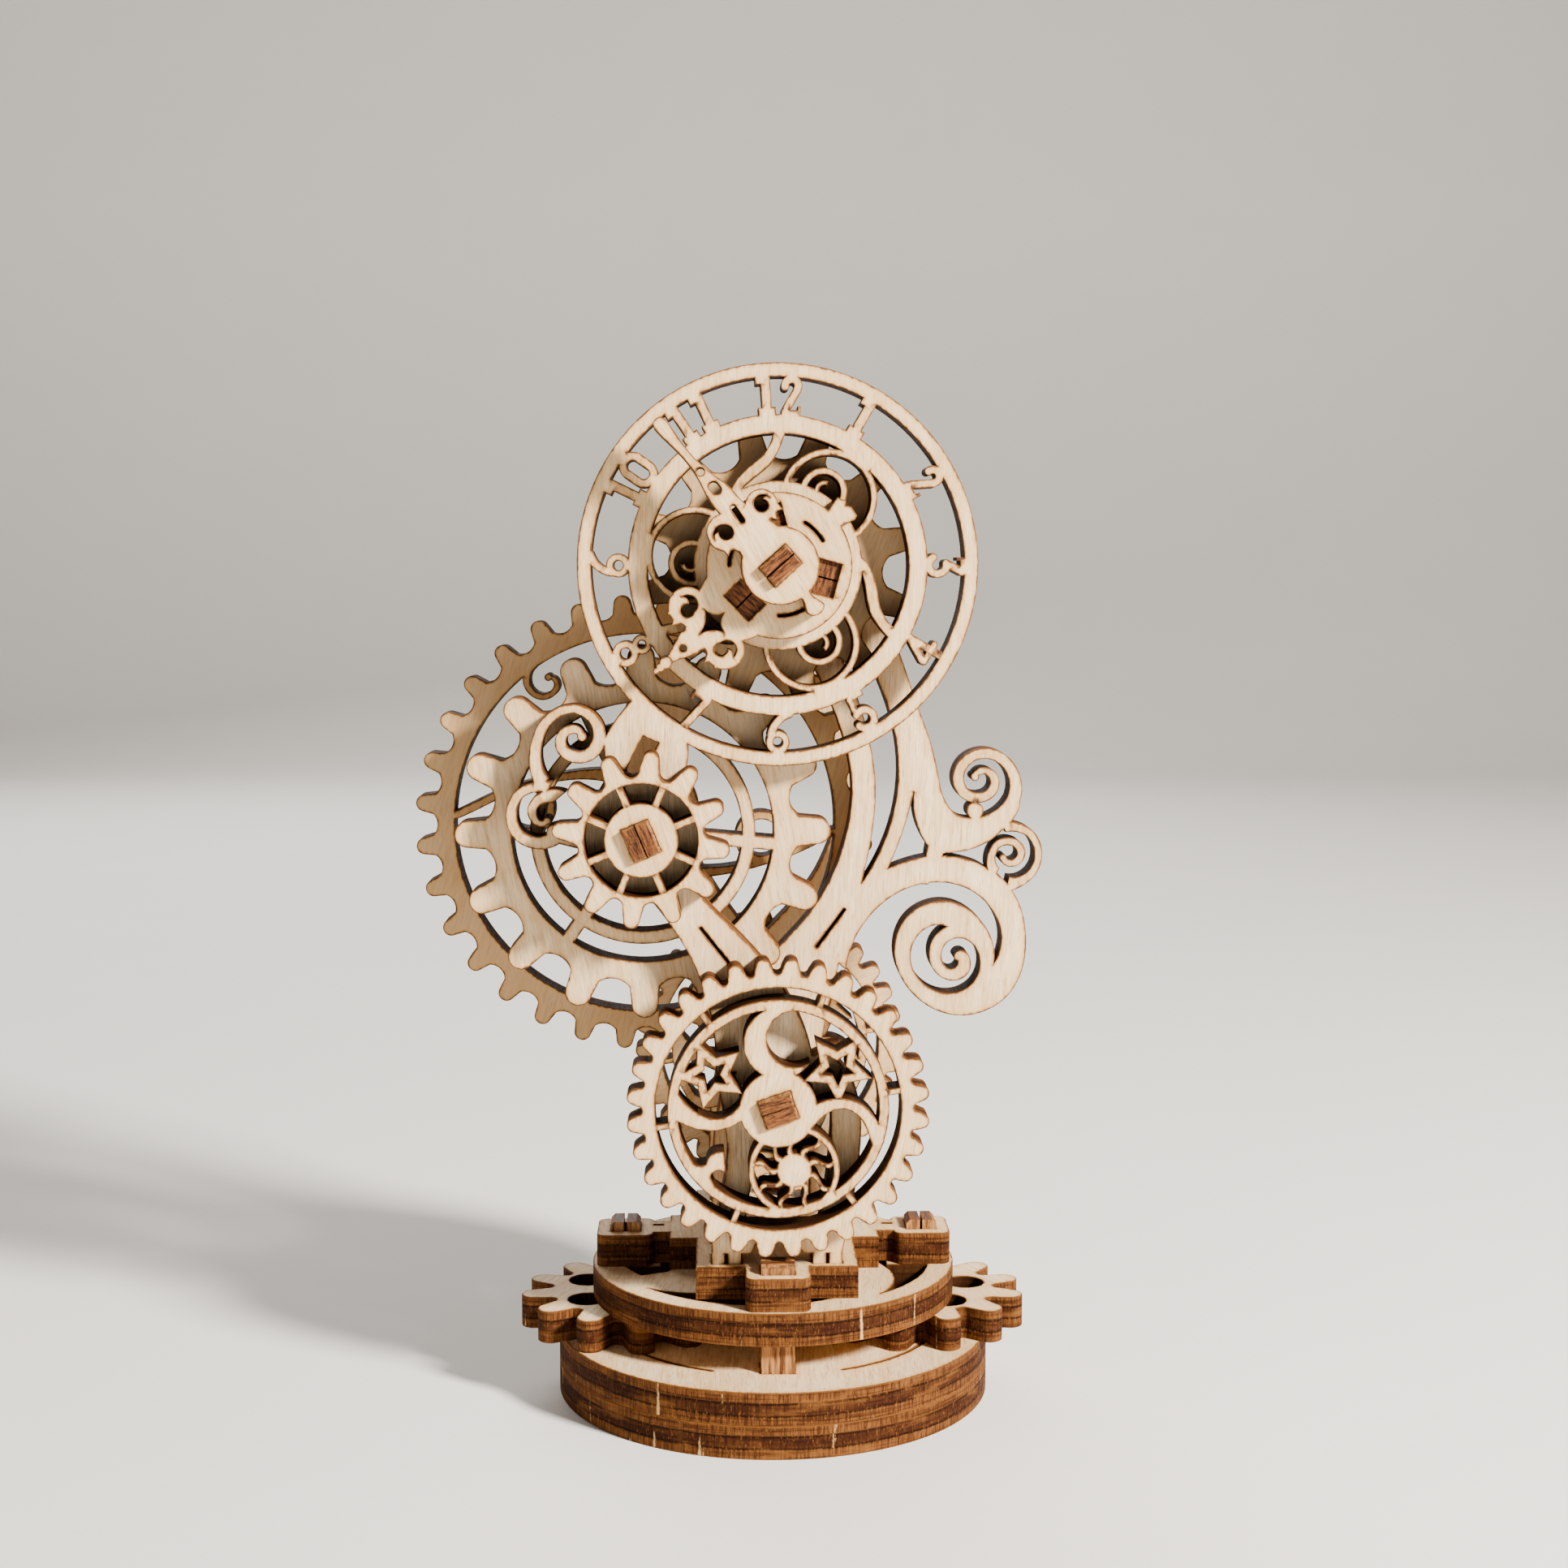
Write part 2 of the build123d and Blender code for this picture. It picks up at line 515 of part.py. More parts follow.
def make_scroll_plate():
    with BuildPart() as scroll_plate:
        with BuildSketch(layer(SCROLL_Y)):
            left_strip()
            # right strip and the broad body that carries the scrolls
            blob([(1.0, 79.5), (4.3, 75.6), (7.6, 70.6), (9.9, 65.6), (11.0, 61.5), (11.1, 57.2),
                  (10.2, 53.2), (7.9, 48.7)],
                 [(3.0, 81.0), (7.4, 76.6), (10.9, 70.6), (12.9, 65.0), (14.3, 61.1), (15.1, 57.4),
                  (15.6, 54.0), (14.0, 48.5)])
            with BuildLine() as outline:
                Spline((14.9, 58.2), (15.5, 56.3), (16.6, 54.95), (18.5, 54.7), (20.3, 55.5),
                       (21.35, 57.0))
                Line((21.35, 57.0), (22.35, 56.8))
                Spline((22.35, 56.8), (22.1, 55.0), (21.1, 53.75), (19.3, 52.2))
                Spline((19.3, 52.2), (17.4, 51.6), (15.6, 51.4))
                Line((15.6, 51.4), (13.0, 50.5))
                Line((13.0, 50.5), (14.9, 58.2))
            make_face(outline.edges())
            # body below, with the large scroll
            with BuildLine() as outline:
                Spline((21.5, 48.3), (23.1, 43.2), (21.3, 38.0), (17.1, 36.3), (12.6, 38.4), (10.9, 42.5),
                       (12.2, 45.7), (15.7, 46.95), (18.95, 45.1), (20.1, 41.1))
                Spline((20.1, 41.1), (20.3, 45.4), (17.5, 48.15), (12.5, 48.3), (8.5, 45.4), (6.5, 40.6))
                Line((6.5, 40.6), (3.6, 43.0))
                Line((3.6, 43.0), (7.9, 48.7))
                Spline((7.9, 48.7), (10.4, 50.1), (13.4, 50.8), (15.6, 51.2))
                Spline((15.6, 51.2), (18.0, 50.7), (20.2, 49.6), (21.5, 48.3))
            make_face(outline.edges())
            with BuildLine() as outline:
                Spline((15.75, 44.6), (14.2, 44.6), (12.75, 43.2), (12.6, 40.9), (13.9, 39.1),
                       (16.1, 38.4), (18.0, 39.2), (18.8, 40.9), (18.4, 42.6), (17.05, 43.5),
                       (15.7, 43.0), (15.3, 41.9), (15.7, 40.9))
                ThreePointArc((15.7, 40.9), (16.45, 40.75), (16.75, 41.4))
                Spline((16.75, 41.4), (16.4, 41.9), (16.85, 42.35), (17.6, 42.2), (18.0, 41.3),
                       (17.8, 40.3), (16.8, 39.6), (15.4, 39.8), (14.35, 40.9), (14.1, 42.4),
                       (14.6, 43.7), (15.75, 44.6))
            make_face(outline.edges(), mode=Mode.SUBTRACT)
            # two smaller scrolls
            curl([(-25, 3.3, 1.3), (0, 3.1, 1.17), (45, 2.85, 1.05), (90, 2.64, 0.97), (135, 2.38, 1.03),
                  (180, 2.1, 1.09), (225, 1.72, 1.05), (270, 1.38, 0.98), (315, 1.26, 0.93),
                  (360, 1.2, 0.89), (405, 1.17, 0.78), (450, 1.06, 0.67), (500, 0.8, 0.6)], (18.83, 57.9),
                 0.4)
            with Locations((18.25, 55.3)):
                Circle(0.78)
            ribbon([(112, 2.75, 1.1), (85, 2.5, 0.85), (54, 2.4, 0.78), (20, 2.25, 0.75), (-35, 2.3, 0.76),
                    (-70, 2.5, 0.9), (-103, 2.85, 1.5)], (21.9, 51.25))
            curl([(240, 2.3, 1.5), (205, 1.75, 0.95), (180, 1.5, 0.78), (135, 1.27, 0.75),
                  (90, 1.13, 0.75), (45, 1.18, 0.77), (0, 1.2, 0.78), (-45, 1.05, 0.74), (-90, 0.85, 0.7),
                  (-140, 0.62, 0.6)],
                 (21.34, 51.33), 0.36)
            # triangle and leaf openings
            with BuildLine() as outline:
                Spline((12.6, 56.9), (12.8, 54.4), (13.9, 52.1))
                Line((13.9, 52.1), (13.75, 51.1))
                Spline((13.75, 51.1), (12.1, 50.7), (10.3, 50.0))
                Spline((10.3, 50.0), (11.6, 53.2), (12.6, 56.9))
            make_face(outline.edges(), mode=Mode.SUBTRACT)
            with BuildLine() as outline:
                Spline((15.7, 51.4), (17.8, 51.7), (20.2, 52.9))
                Spline((20.2, 52.9), (19.3, 51.5), (19.4, 50.0))
                Spline((19.4, 50.0), (17.8, 50.8), (15.7, 51.1))
                Line((15.7, 51.1), (15.7, 51.4))
            make_face(outline.edges(), mode=Mode.SUBTRACT)
            with Locations(DIAL_AXIS):
                Circle(4.4)
            with Locations(DRIVE_AXIS):
                Circle(4.6)
            # two legs, set back behind those of the dial plate
            blob([(-4.4, 31.0), (-5.6, 25.5), (-5.9, 20.5), (-FOOT_OUTER, SHOULDER_Z)],
                 [(-1.0, 30.0), (-2.6, 25.0), (-3.0, 20.5), (-FOOT_INNER, SHOULDER_Z)])
            blob([(1.0, 30.0), (2.9, 25.0), (3.2, 20.5), (FOOT_INNER, SHOULDER_Z)],
                 [(4.4, 31.0), (6.0, 25.5), (6.1, 20.5), (FOOT_OUTER, SHOULDER_Z)])
            plate_feet()
            with Locations(DRIVE_AXIS):
                Circle(AXLE_HOLE, mode=Mode.SUBTRACT)
            with Locations(DIAL_AXIS):
                Circle(MINUTE_HOLE, mode=Mode.SUBTRACT)
            stroke((6.3, 46.2), (3.8, 42.8), SLIT, mode=Mode.SUBTRACT)
        extrude(amount=PLY)
    save(scroll_plate, "scroll_plate")


def make_rear_frame():
    with BuildPart() as rear_frame:
        with BuildSketch(layer(REAR_Y)):
            left_strip(shift=-1.2)
            blob([(-2.6, 80.2), (-7.4, 75.0), (-12.4, 67.5), (-15.6, 60.0), (-16.4, 53.7)],
                 [(0.0, 75.0), (-4.2, 70.0), (-7.6, 64.0), (-8.6, 58.6), (-7.6, 53.7)])
            blob([(-16.3, 53.0), (-13.4, 48.0), (-9.2, 42.0), (-5.6, 36.0), (-4.2, 31.0)],
                 [(-8.0, 51.0), (-5.4, 46.4), (-2.0, 41.6), (1.6, 36.6), (3.0, 31.0)])
            for centre in (DRIVE_AXIS, MIDDLE_AXIS, DIAL_AXIS):
                with Locations(centre):
                    Circle(5.0)
            blob([(-4.6, 31.0), (-5.8, 25.5), (-6.1, 20.5), (-FOOT_OUTER, SHOULDER_Z)],
                 [(-1.0, 30.0), (-2.9, 25.0), (-3.2, 20.5), (-FOOT_INNER, SHOULDER_Z)])
            blob([(1.0, 30.0), (2.9, 25.0), (3.2, 20.5), (FOOT_INNER, SHOULDER_Z)],
                 [(4.6, 31.0), (5.8, 25.5), (6.1, 20.5), (FOOT_OUTER, SHOULDER_Z)])
            plate_feet()
            with Locations(DRIVE_AXIS, MIDDLE_AXIS):
                Circle(AXLE_HOLE, mode=Mode.SUBTRACT)
            with Locations(DIAL_AXIS):
                Circle(MINUTE_HOLE, mode=Mode.SUBTRACT)
            ribbon([(118, 9.0, 0), (122, 12.5, 2.4), (134, 16.0, 2.6), (142, 19.5, 0)], (0.0, 58.0),
                   mode=Mode.SUBTRACT)
            ribbon([(196, 13.2, 0), (206, 13.4, 1.5), (216, 14.4, 0)], (0.0, 50.0), mode=Mode.SUBTRACT)
        extrude(amount=PLY)
    save(rear_frame, "rear_frame")


# ---- axles -----------------------------------------------------------------------------------
def make_axle(name, centre, front, back, short_side, turn):
    """Split strip: a rectangular bar with a slit through its thickness at each end."""
    plane = Plane(origin=(centre[0], back, centre[1]), x_dir=(1, 0, 0), z_dir=(0, -1, 0))
    slit_length = 8.0
    with BuildPart() as axle:
        with BuildSketch(plane):
            Rectangle(AXLE_LONG, short_side, rotation=turn)
        extrude(amount=back - front)
        chamfer(axle.faces().sort_by(Axis.Y)[0].edges(), 0.15)
        chamfer(axle.faces().sort_by(Axis.Y)[-1].edges(), 0.15)
        for offset in (0.0, back - front - slit_length):
            with BuildSketch(plane.offset(offset)):
                Rectangle(AXLE_LONG + 1, SLIT / 1.6, rotation=turn)
            extrude(amount=slit_length, mode=Mode.SUBTRACT)
    save(axle, name)


def make_axles():
    make_axle("drive_axle", DRIVE_AXIS, HAND_Y - AXLE_PROUD, REAR_GEAR_Y + PLY + AXLE_PROUD,
              AXLE_SHORT, DRIVE_AXLE_TURN)
    make_axle("middle_axle", MIDDLE_AXIS, HAND_Y - AXLE_PROUD, REAR_Y + PLY + AXLE_PROUD,
              AXLE_SHORT, MIDDLE_AXLE_TURN)
    make_axle("minute_axle", DIAL_AXIS, MINUTE_HAND_Y - AXLE_PROUD, REAR_Y + PLY + AXLE_PROUD,
              MINUTE_AXLE_SHORT, MINUTE_AXLE_TURN)


# ---- gears -----------------------------------------------------------------------------------
def star(centre, radius, inner_radius, turn, mode=Mode.ADD):
    """Five-pointed star."""
    points = [at(radius if k % 2 == 0 else inner_radius, turn + 36 * k, centre) for k in range(10)]
    with BuildLine() as outline:
        Polyline(*points, close=True)
    make_face(outline.edges(), mode=mode)


def sun_and_moon():
    """Night and day ornament that fills the drive gear's hub."""
    hub = 3.45
    Circle(hub)
    with BuildSketch(Plane.XY, mode=Mode.PRIVATE) as moon:
        with Locations((0.1, 5.9)):
            Circle(3.2)
        with Locations((1.45, 6.25)):
            Circle(2.5, mode=Mode.SUBTRACT)
        with Locations((3.6, 8.6)):
            Circle(2.4, mode=Mode.SUBTRACT)
    add(moon.sketch)
    for centre, turn in (((-5.9, 3.1), 40), ((5.2, 3.6), 56)):
        star(centre, 3.2, 1.6, turn)
        star(centre, 1.5, 0.72, turn, mode=Mode.SUBTRACT)
    with BuildLine() as outline:
        Spline((-3.3, 0.6), (-5.9, -0.8), (-8.2, 0.6), (-9.4, 2.6))
        Line((-9.4, 2.6), (-9.5, -0.6))
        Spline((-9.5, -0.6), (-8.6, -1.2), (-6.2, -1.9), (-3.2, -1.0))
        Line((-3.2, -1.0), (-3.3, 0.6))
    make_face(outline.edges())
    with BuildLine() as outline:
        Spline((3.3, 0.4), (5.5, 0.95), (7.4, 0.4), (8.8, -1.2), (9.4, -3.0))
        Line((9.4, -3.0), (8.6, -4.2))
        Spline((8.6, -4.2), (8.0, -2.4), (7.1, -0.7), (5.7, 0.0), (4.2, -0.5), (3.0, -1.8))
        Line((3.0, -1.8), (3.3, 0.4))
    make_face(outline.edges())
    with BuildLine() as outline:
        Spline((-8.95, -2.3), (-8.1, -4.1), (-7.2, -5.0), (-6.4, -4.9))
        Spline((-6.4, -4.9), (-6.1, -4.2), (-4.8, -3.8))
        Line((-4.8, -3.8), (-4.6, -5.9))
        ThreePointArc((-4.6, -5.9), (-5.5, -5.5), (-6.0, -6.1))
        Line((-6.0, -6.1), (-5.3, -7.6))
        ThreePointArc((-5.3, -7.6), (-7.4, -5.8), (-8.95, -2.3))
    make_face(outline.edges())
    sun_centre = (1.4, -5.5)
    with BuildSketch(Plane.XY, mode=Mode.PRIVATE) as sun:
        annulus(4.05, 3.5)
        with BuildSketch(Plane.XY, mode=Mode.PRIVATE) as disc:
            Circle(1.55)
        add(disc.sketch)
        rays = 9
        for ray in range(rays):
            angle = 360 / rays * ray + 12
            with BuildLine() as outline:
                Spline(at(1.3, angle - 16), at(2.2, angle + 1), at(2.85, angle - 8), at(3.7, angle - 1))
                Line(at(3.7, angle - 1), at(3.7, angle + 5))
                Spline(at(3.7, angle + 5), at(2.85, angle), at(2.2, angle + 13), at(1.3, angle + 17))
                Line(at(1.3, angle + 17), at(1.3, angle - 16))
            make_face(outline.edges())
    with Locations(sun_centre):
        add(sun.sketch)


def make_drive_gear(name, front, phase):
    with BuildPart() as gear:
        with BuildSketch(layer(front, DRIVE_AXIS)):
            gear_blank(DRIVE_TEETH, phase, 13.4, 13.05, 12.4, 12.0, 1.2, 1.65)
            Circle(8.9, mode=Mode.SUBTRACT)
            with BuildSketch(Plane.XY, mode=Mode.PRIVATE) as slots:
                annulus(10.85, 9.8)
                with PolarLocations(10.3, 6, start_angle=8.5):
                    Rectangle(2.0, 0.55, mode=Mode.SUBTRACT)
            add(slots.sketch, mode=Mode.SUBTRACT)
            with BuildSketch(Plane.XY, mode=Mode.PRIVATE) as ornament:
                sun_and_moon()
            add(ornament.sketch)
            square_hole(AXLE_LONG, AXLE_SHORT, DRIVE_AXLE_TURN)
        extrude(amount=PLY)
    save(gear, name)


def make_pinion(name, centre, phase, short_side, turn):
    with BuildPart() as pinion:
        with BuildSketch(layer(TRAIN_Y, centre)):
            gear_blank(PINION_TEETH, phase, PINION_PITCH + 0.95, PINION_PITCH + 0.35,
                       PINION_PITCH - 0.75, PINION_PITCH - 1.35, 1.3, 1.75)
            square_hole(AXLE_LONG, short_side, turn)
        extrude(amount=PLY)
    save(pinion, name)


def make_big_wheel():
    with BuildPart() as wheel:
        with BuildSketch(layer(TRAIN_Y, MIDDLE_AXIS)):
            gear_blank(BIG_TEETH, BIG_PHASE, BIG_PITCH + 0.9, BIG_PITCH + 0.35,
                       BIG_PITCH - 0.75, BIG_PITCH - 1.15, 1.5, 1.95)
            Circle(17.6, mode=Mode.SUBTRACT)
            Circle(4.6)
            for turn in (0, 180):
                ribbon([(angle + turn, radius, width) for angle, radius, width in
                        ((178.5, 18.2, 1.6), (174, 15.8, 1.5), (169, 13.9, 1.3), (160, 11.0, 1.2),
                         (146, 8.0, 1.3), (128, 5.6, 1.8), (110, 4.2, 2.4))])
                loop = at(16.15, 125.2 + turn)
                curl([(120 + turn, 1.9, 1.0), (160 + turn, 1.65, 0.75), (205 + turn, 1.5, 0.65),
                      (260 + turn, 1.42, 0.62), (310 + turn, 1.35, 0.6), (350 + turn, 1.25, 0.6),
                      (378 + turn, 0.95, 0.58), (402 + turn, 0.6, 0.5)], loop, 0.36)
                with Locations(at(10.9, 173 + turn)):
                    Circle(2.5)
                    Circle(1.7, mode=Mode.SUBTRACT)
            square_hole(AXLE_LONG, AXLE_SHORT, MIDDLE_AXLE_TURN)
        extrude(amount=PLY)
    save(wheel, "big_wheel")


def make_middle_wheel():
    with BuildPart() as wheel:
        with BuildSketch(layer(WHEEL_Y, MIDDLE_AXIS)):
            gear_blank(MIDDLE_TEETH, MIDDLE_PHASE, MIDDLE_PITCH + 1.6, MIDDLE_PITCH + 0.55,
                       MIDDLE_PITCH - 1.15, MIDDLE_PITCH - 1.75, 2.4, 2.75)
            Circle(11.7, mode=Mode.SUBTRACT)
            with BuildSketch(Plane.XY, mode=Mode.PRIVATE) as inner_ring:
                annulus(10.1, 8.9)
            add(inner_ring.sketch)
            Circle(4.2)
            for angle in (-5, 115, 235):
                stroke(at(3.5, angle), at(12.2, angle), 1.2)
            square_hole(AXLE_LONG, AXLE_SHORT, MIDDLE_AXLE_TURN)
        extrude(amount=PLY)
    save(wheel, "middle_wheel")


def make_hour_wheel():
    with BuildPart() as wheel:
        with BuildSketch(layer(WHEEL_Y, DIAL_AXIS)):
            gear_blank(HOUR_TEETH, HOUR_PHASE, HOUR_PITCH + 1.35, HOUR_PITCH + 0.5,
                       HOUR_PITCH - 1.4, HOUR_PITCH - 2.0, 2.1, 2.6)
            Circle(MINUTE_HOLE, mode=Mode.SUBTRACT)
            hour_peg_holes()
        extrude(amount=PLY)
    save(wheel, "hour_wheel")


def make_cap_gear():
    with BuildPart() as cap:
        with BuildSketch(layer(HAND_Y, MIDDLE_AXIS)):
            gear_blank(CAP_TEETH, CAP_PHASE, 7.8, 7.2, 6.1, 5.55, 1.45, 1.85)
            with BuildSketch(Plane.XY, mode=Mode.PRIVATE) as windows:
                annulus(4.95, 3.25)
                with PolarLocations(4.0, 8, start_angle=22.5):
                    Rectangle(3.0, 0.65, mode=Mode.SUBTRACT)
            add(windows.sketch, mode=Mode.SUBTRACT)
            square_hole(AXLE_LONG, AXLE_SHORT, MIDDLE_AXLE_TURN)
        extrude(amount=PLY)
    save(cap, "cap_gear")


# ---- hands -----------------------------------------------------------------------------------
def hour_peg_holes():
    for angle in HOUR_PEG_ANGLES:
        with Locations(Location(at(HOUR_PEG_RADIUS, angle), angle)):
            Rectangle(HOUR_PEG_SHORT, HOUR_PEG_LONG, mode=Mode.SUBTRACT)


def make_hour_hand():
    with BuildPart() as hour_hand:
        with BuildSketch(layer(HAND_Y, DIAL_AXIS)):
            Circle(HOUR_DISC_RADIUS)
            # pointer, drawn along +X and turned to its hour
            with BuildSketch(Plane.XY, mode=Mode.PRIVATE) as pointer:
                with BuildLine() as outline:
                    Spline((5.3, 3.4), (6.6, 2.9), (8.2, 2.0), (9.4, 1.35), (10.4, 1.1), (11.4, 0.72),
                           (12.4, 0.38))
                    Line((12.4, 0.38), (12.4, -0.38))
                    Spline((12.4, -0.38), (11.4, -0.72), (10.4, -1.1), (9.4, -1.35), (8.2, -2.0),
                           (6.6, -2.9), (5.3, -3.4))
                    Line((5.3, -3.4), (5.3, 3.4))
                make_face(outline.edges())
                for side in (-1, 1):
                    with Locations((8.3, side * 2.45)):
                        Circle(1.72)
                    with BuildLine() as outline:
                        Polyline((9.0, side * 1.3), (10.45, side * 2.1), (9.85, side * 2.55),
                                 (10.1, side * 3.15), (8.9, side * 3.6), close=True)
                    make_face(outline.edges())
                    with Locations((9.95, side * 1.45)):
                        Circle(0.36, mode=Mode.SUBTRACT)
                    with Locations((8.55, side * 2.2)):
                        Circle(0.58, mode=Mode.SUBTRACT)
                    with BuildLine() as outline:
                        ThreePointArc((8.3, side * 1.75), (7.35, side * 2.5), (8.1, side * 3.4))
                        ThreePointArc((8.1, side * 3.4), (7.95, side * 2.7), (8.7, side * 2.5))
                        Line((8.7, side * 2.5), (8.3, side * 1.75))
                    make_face(outline.edges(), mode=Mode.SUBTRACT)
                for along, radius in ((12.9, 0.55), (13.5, 0.38), (14.0, 0.28)):
                    with Locations((along, 0)):
                        Circle(radius)
                with BuildLine() as outline:
                    ThreePointArc((6.3, 0), (7.05, 0.42), (7.35, 1.25))
                    ThreePointArc((7.35, 1.25), (7.95, 0.5), (9.05, 0))
                    ThreePointArc((9.05, 0), (7.95, -0.5), (7.35, -1.25))
                    ThreePointArc((7.35, -1.25), (7.05, -0.42), (6.3, 0))
                make_face(outline.edges(), mode=Mode.SUBTRACT)
                with Locations((10.95, 0)):
                    Circle(0.3, mode=Mode.SUBTRACT)
                with BuildLine() as outline:
                    Polyline((-6.0, 0.8), (-7.5, 1.25), (-7.9, 1.1), (-8.0, 0.2), (-7.7, -0.2),
                             (-8.0, -0.5), (-7.6, -1.2), (-6.0, -0.8), close=True)
                make_face(outline.edges())
            with Locations(Location((0, 0), HOUR_ANGLE)):
                add(pointer.sketch)
            Circle(MINUTE_HOLE, mode=Mode.SUBTRACT)
            hour_peg_holes()
            for turn in (0, 120, 240):
                arc_stroke((0, 0), 4.3, 30 + turn, 29, SLIT, mode=Mode.SUBTRACT)
        extrude(amount=PLY)
    save(hour_hand, "hour_hand")

    for number, angle in enumerate(HOUR_PEG_ANGLES, start=1):
        centre = at(HOUR_PEG_RADIUS, angle, DIAL_AXIS)
        plane = Plane(origin=(centre[0], WHEEL_Y + PLY, centre[1]), x_dir=(1, 0, 0), z_dir=(0, -1, 0))
        length = WHEEL_Y + PLY - HAND_Y - 0.4
        with BuildPart() as peg:
            with BuildSketch(plane):
                Rectangle(HOUR_PEG_SHORT, HOUR_PEG_LONG, rotation=angle)
            extrude(amount=length)
            with BuildSketch(plane.offset(length - 2.4)):
                Rectangle(HOUR_PEG_SHORT + 1, SLIT / 1.6, rotation=angle)
            extrude(amount=2.4, mode=Mode.SUBTRACT)
        save(peg, f"hour_peg_{number}")


def make_minute_hand():
    with BuildPart() as minute_hand:
        with BuildSketch(layer(MINUTE_HAND_Y, DIAL_AXIS)):
            Circle(3.35)
            with BuildSketch(Plane.XY, mode=Mode.PRIVATE) as pointer:
                with BuildLine() as outline:
                    Spline((2.4, 2.0), (4.6, 1.5), (6.2, 1.1), (7.4, 1.08), (8.5, 0.95), (9.6, 0.66),
                           (11.1, 0.42), (12.6, 0.38), (14.2, 0.52), (15.6, 0.62))
                    ThreePointArc((15.6, 0.62), (16.2, 0.0), (15.6, -0.62))
                    Spline((15.6, -0.62), (14.2, -0.52), (12.6, -0.38), (11.1, -0.42), (9.6, -0.66),
                           (8.5, -0.95), (7.4, -1.08), (6.2, -1.1), (4.6, -1.5), (2.4, -2.0))
                    Line((2.4, -2.0), (2.4, 2.0))
                make_face(outline.edges())
                for side, along, across, eye in ((1, 5.15, 1.7, 1.62), (-1, 4.9, 2.1, 1.4)):
                    with Locations((along, side * across)):
                        Circle(eye)
                    with BuildLine() as outline:
                        Polyline((4.7, side * 1.1), (3.1, side * (across + 0.2)),
                                 (3.75, side * (across + 0.55)), (3.45, side * (across + 1.15)),
                                 (4.8, side * (across + 1.15)), close=True)
                    make_face(outline.edges())
                    with Locations((along - 0.05, side * across)):
                        Circle(eye * 0.38, mode=Mode.SUBTRACT)
                    with BuildLine() as outline:
                        ThreePointArc((along - 0.3, side * (across - 0.5)),
                                      (along + 0.8, side * (across + 0.1)),
                                      (along + 0.15, side * (across + eye - 0.5)))
                        ThreePointArc((along + 0.15, side * (across + eye - 0.5)),
                                      (along + 0.35, side * (across + 0.4)),
                                      (along - 0.15, side * (across + 0.3)))
                        Line((along - 0.15, side * (across + 0.3)), (along - 0.3, side * (across - 0.5)))
                    make_face(outline.edges(), mode=Mode.SUBTRACT)
                stroke((5.0, 0), (6.3, -0.15), 0.46, mode=Mode.SUBTRACT)
                stroke((8.35, -0.05), (8.75, -0.05), 0.8, mode=Mode.SUBTRACT)
                with Locations((10.4, 0)):
                    Circle(0.34, mode=Mode.SUBTRACT)
                with BuildLine() as outline:
                    Spline((-3.0, 0.75), (-3.6, 0.5), (-4.1, 0.72), (-4.9, 0.8))
                    ThreePointArc((-4.9, 0.8), (-5.3, 0.0), (-4.9, -0.75))
                    Spline((-4.9, -0.75), (-4.3, -0.6), (-3.6, -0.45), (-3.0, -0.75))
                    Line((-3.0, -0.75), (-3.0, 0.75))
                make_face(outline.edges())
            with Locations(Location((0, 0), MINUTE_ANGLE)):
                add(pointer.sketch)
            square_hole(AXLE_LONG, MINUTE_AXLE_SHORT, MINUTE_AXLE_TURN)
        extrude(amount=PLY)
    save(minute_hand, "minute_hand")


os.makedirs("parts", exist_ok=True)
make_base()
make_dial_plate()
make_scroll_plate()
make_rear_frame()
make_axles()
make_drive_gear("front_drive_gear", HAND_Y, DRIVE_PHASE)
make_drive_gear("rear_drive_gear", REAR_GEAR_Y, REAR_DRIVE_PHASE)
make_pinion("drive_pinion", DRIVE_AXIS, PINION_PHASE, AXLE_SHORT, DRIVE_AXLE_TURN)
make_pinion("minute_pinion", DIAL_AXIS, MINUTE_PINION_PHASE, MINUTE_AXLE_SHORT, MINUTE_AXLE_TURN)
make_big_wheel()
make_middle_wheel()
make_hour_wheel()
make_cap_gear()
make_hour_hand()
make_minute_hand()
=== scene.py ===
import math

import bpy
import numpy as np
from mathutils import Matrix, Vector
from mathutils.geometry import delaunay_2d_cdt


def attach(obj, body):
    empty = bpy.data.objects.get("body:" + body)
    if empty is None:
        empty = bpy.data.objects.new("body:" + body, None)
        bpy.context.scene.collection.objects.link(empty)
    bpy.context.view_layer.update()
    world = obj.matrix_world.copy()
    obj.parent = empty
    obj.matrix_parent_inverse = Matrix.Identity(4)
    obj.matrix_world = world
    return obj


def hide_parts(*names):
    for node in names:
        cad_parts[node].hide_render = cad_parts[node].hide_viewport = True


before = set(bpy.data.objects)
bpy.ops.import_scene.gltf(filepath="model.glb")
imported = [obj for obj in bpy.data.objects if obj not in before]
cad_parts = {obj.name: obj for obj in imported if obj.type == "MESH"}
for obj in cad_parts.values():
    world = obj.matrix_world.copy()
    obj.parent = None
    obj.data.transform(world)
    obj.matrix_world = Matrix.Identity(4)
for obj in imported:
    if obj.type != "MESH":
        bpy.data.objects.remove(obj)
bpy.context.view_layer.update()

MM = 0.001
PLY = 3.0                 # thickness of every sheet, mm
CHAMFER = 0.06            # worn edge of a laser cut, mm
GROOVE_RIM = 0.03         # scorched lip of a scored line, mm
GROOVE_DEPTH = 0.15       # floor of a scored line, mm
GLUE_LINES = (0.95, 2.05)       # depth of the glue between the veneers, mm
STRIP_BEVEL = 0.07        # worn edge of an axle or peg, mm
STRIP_BEVEL_DEG = 35

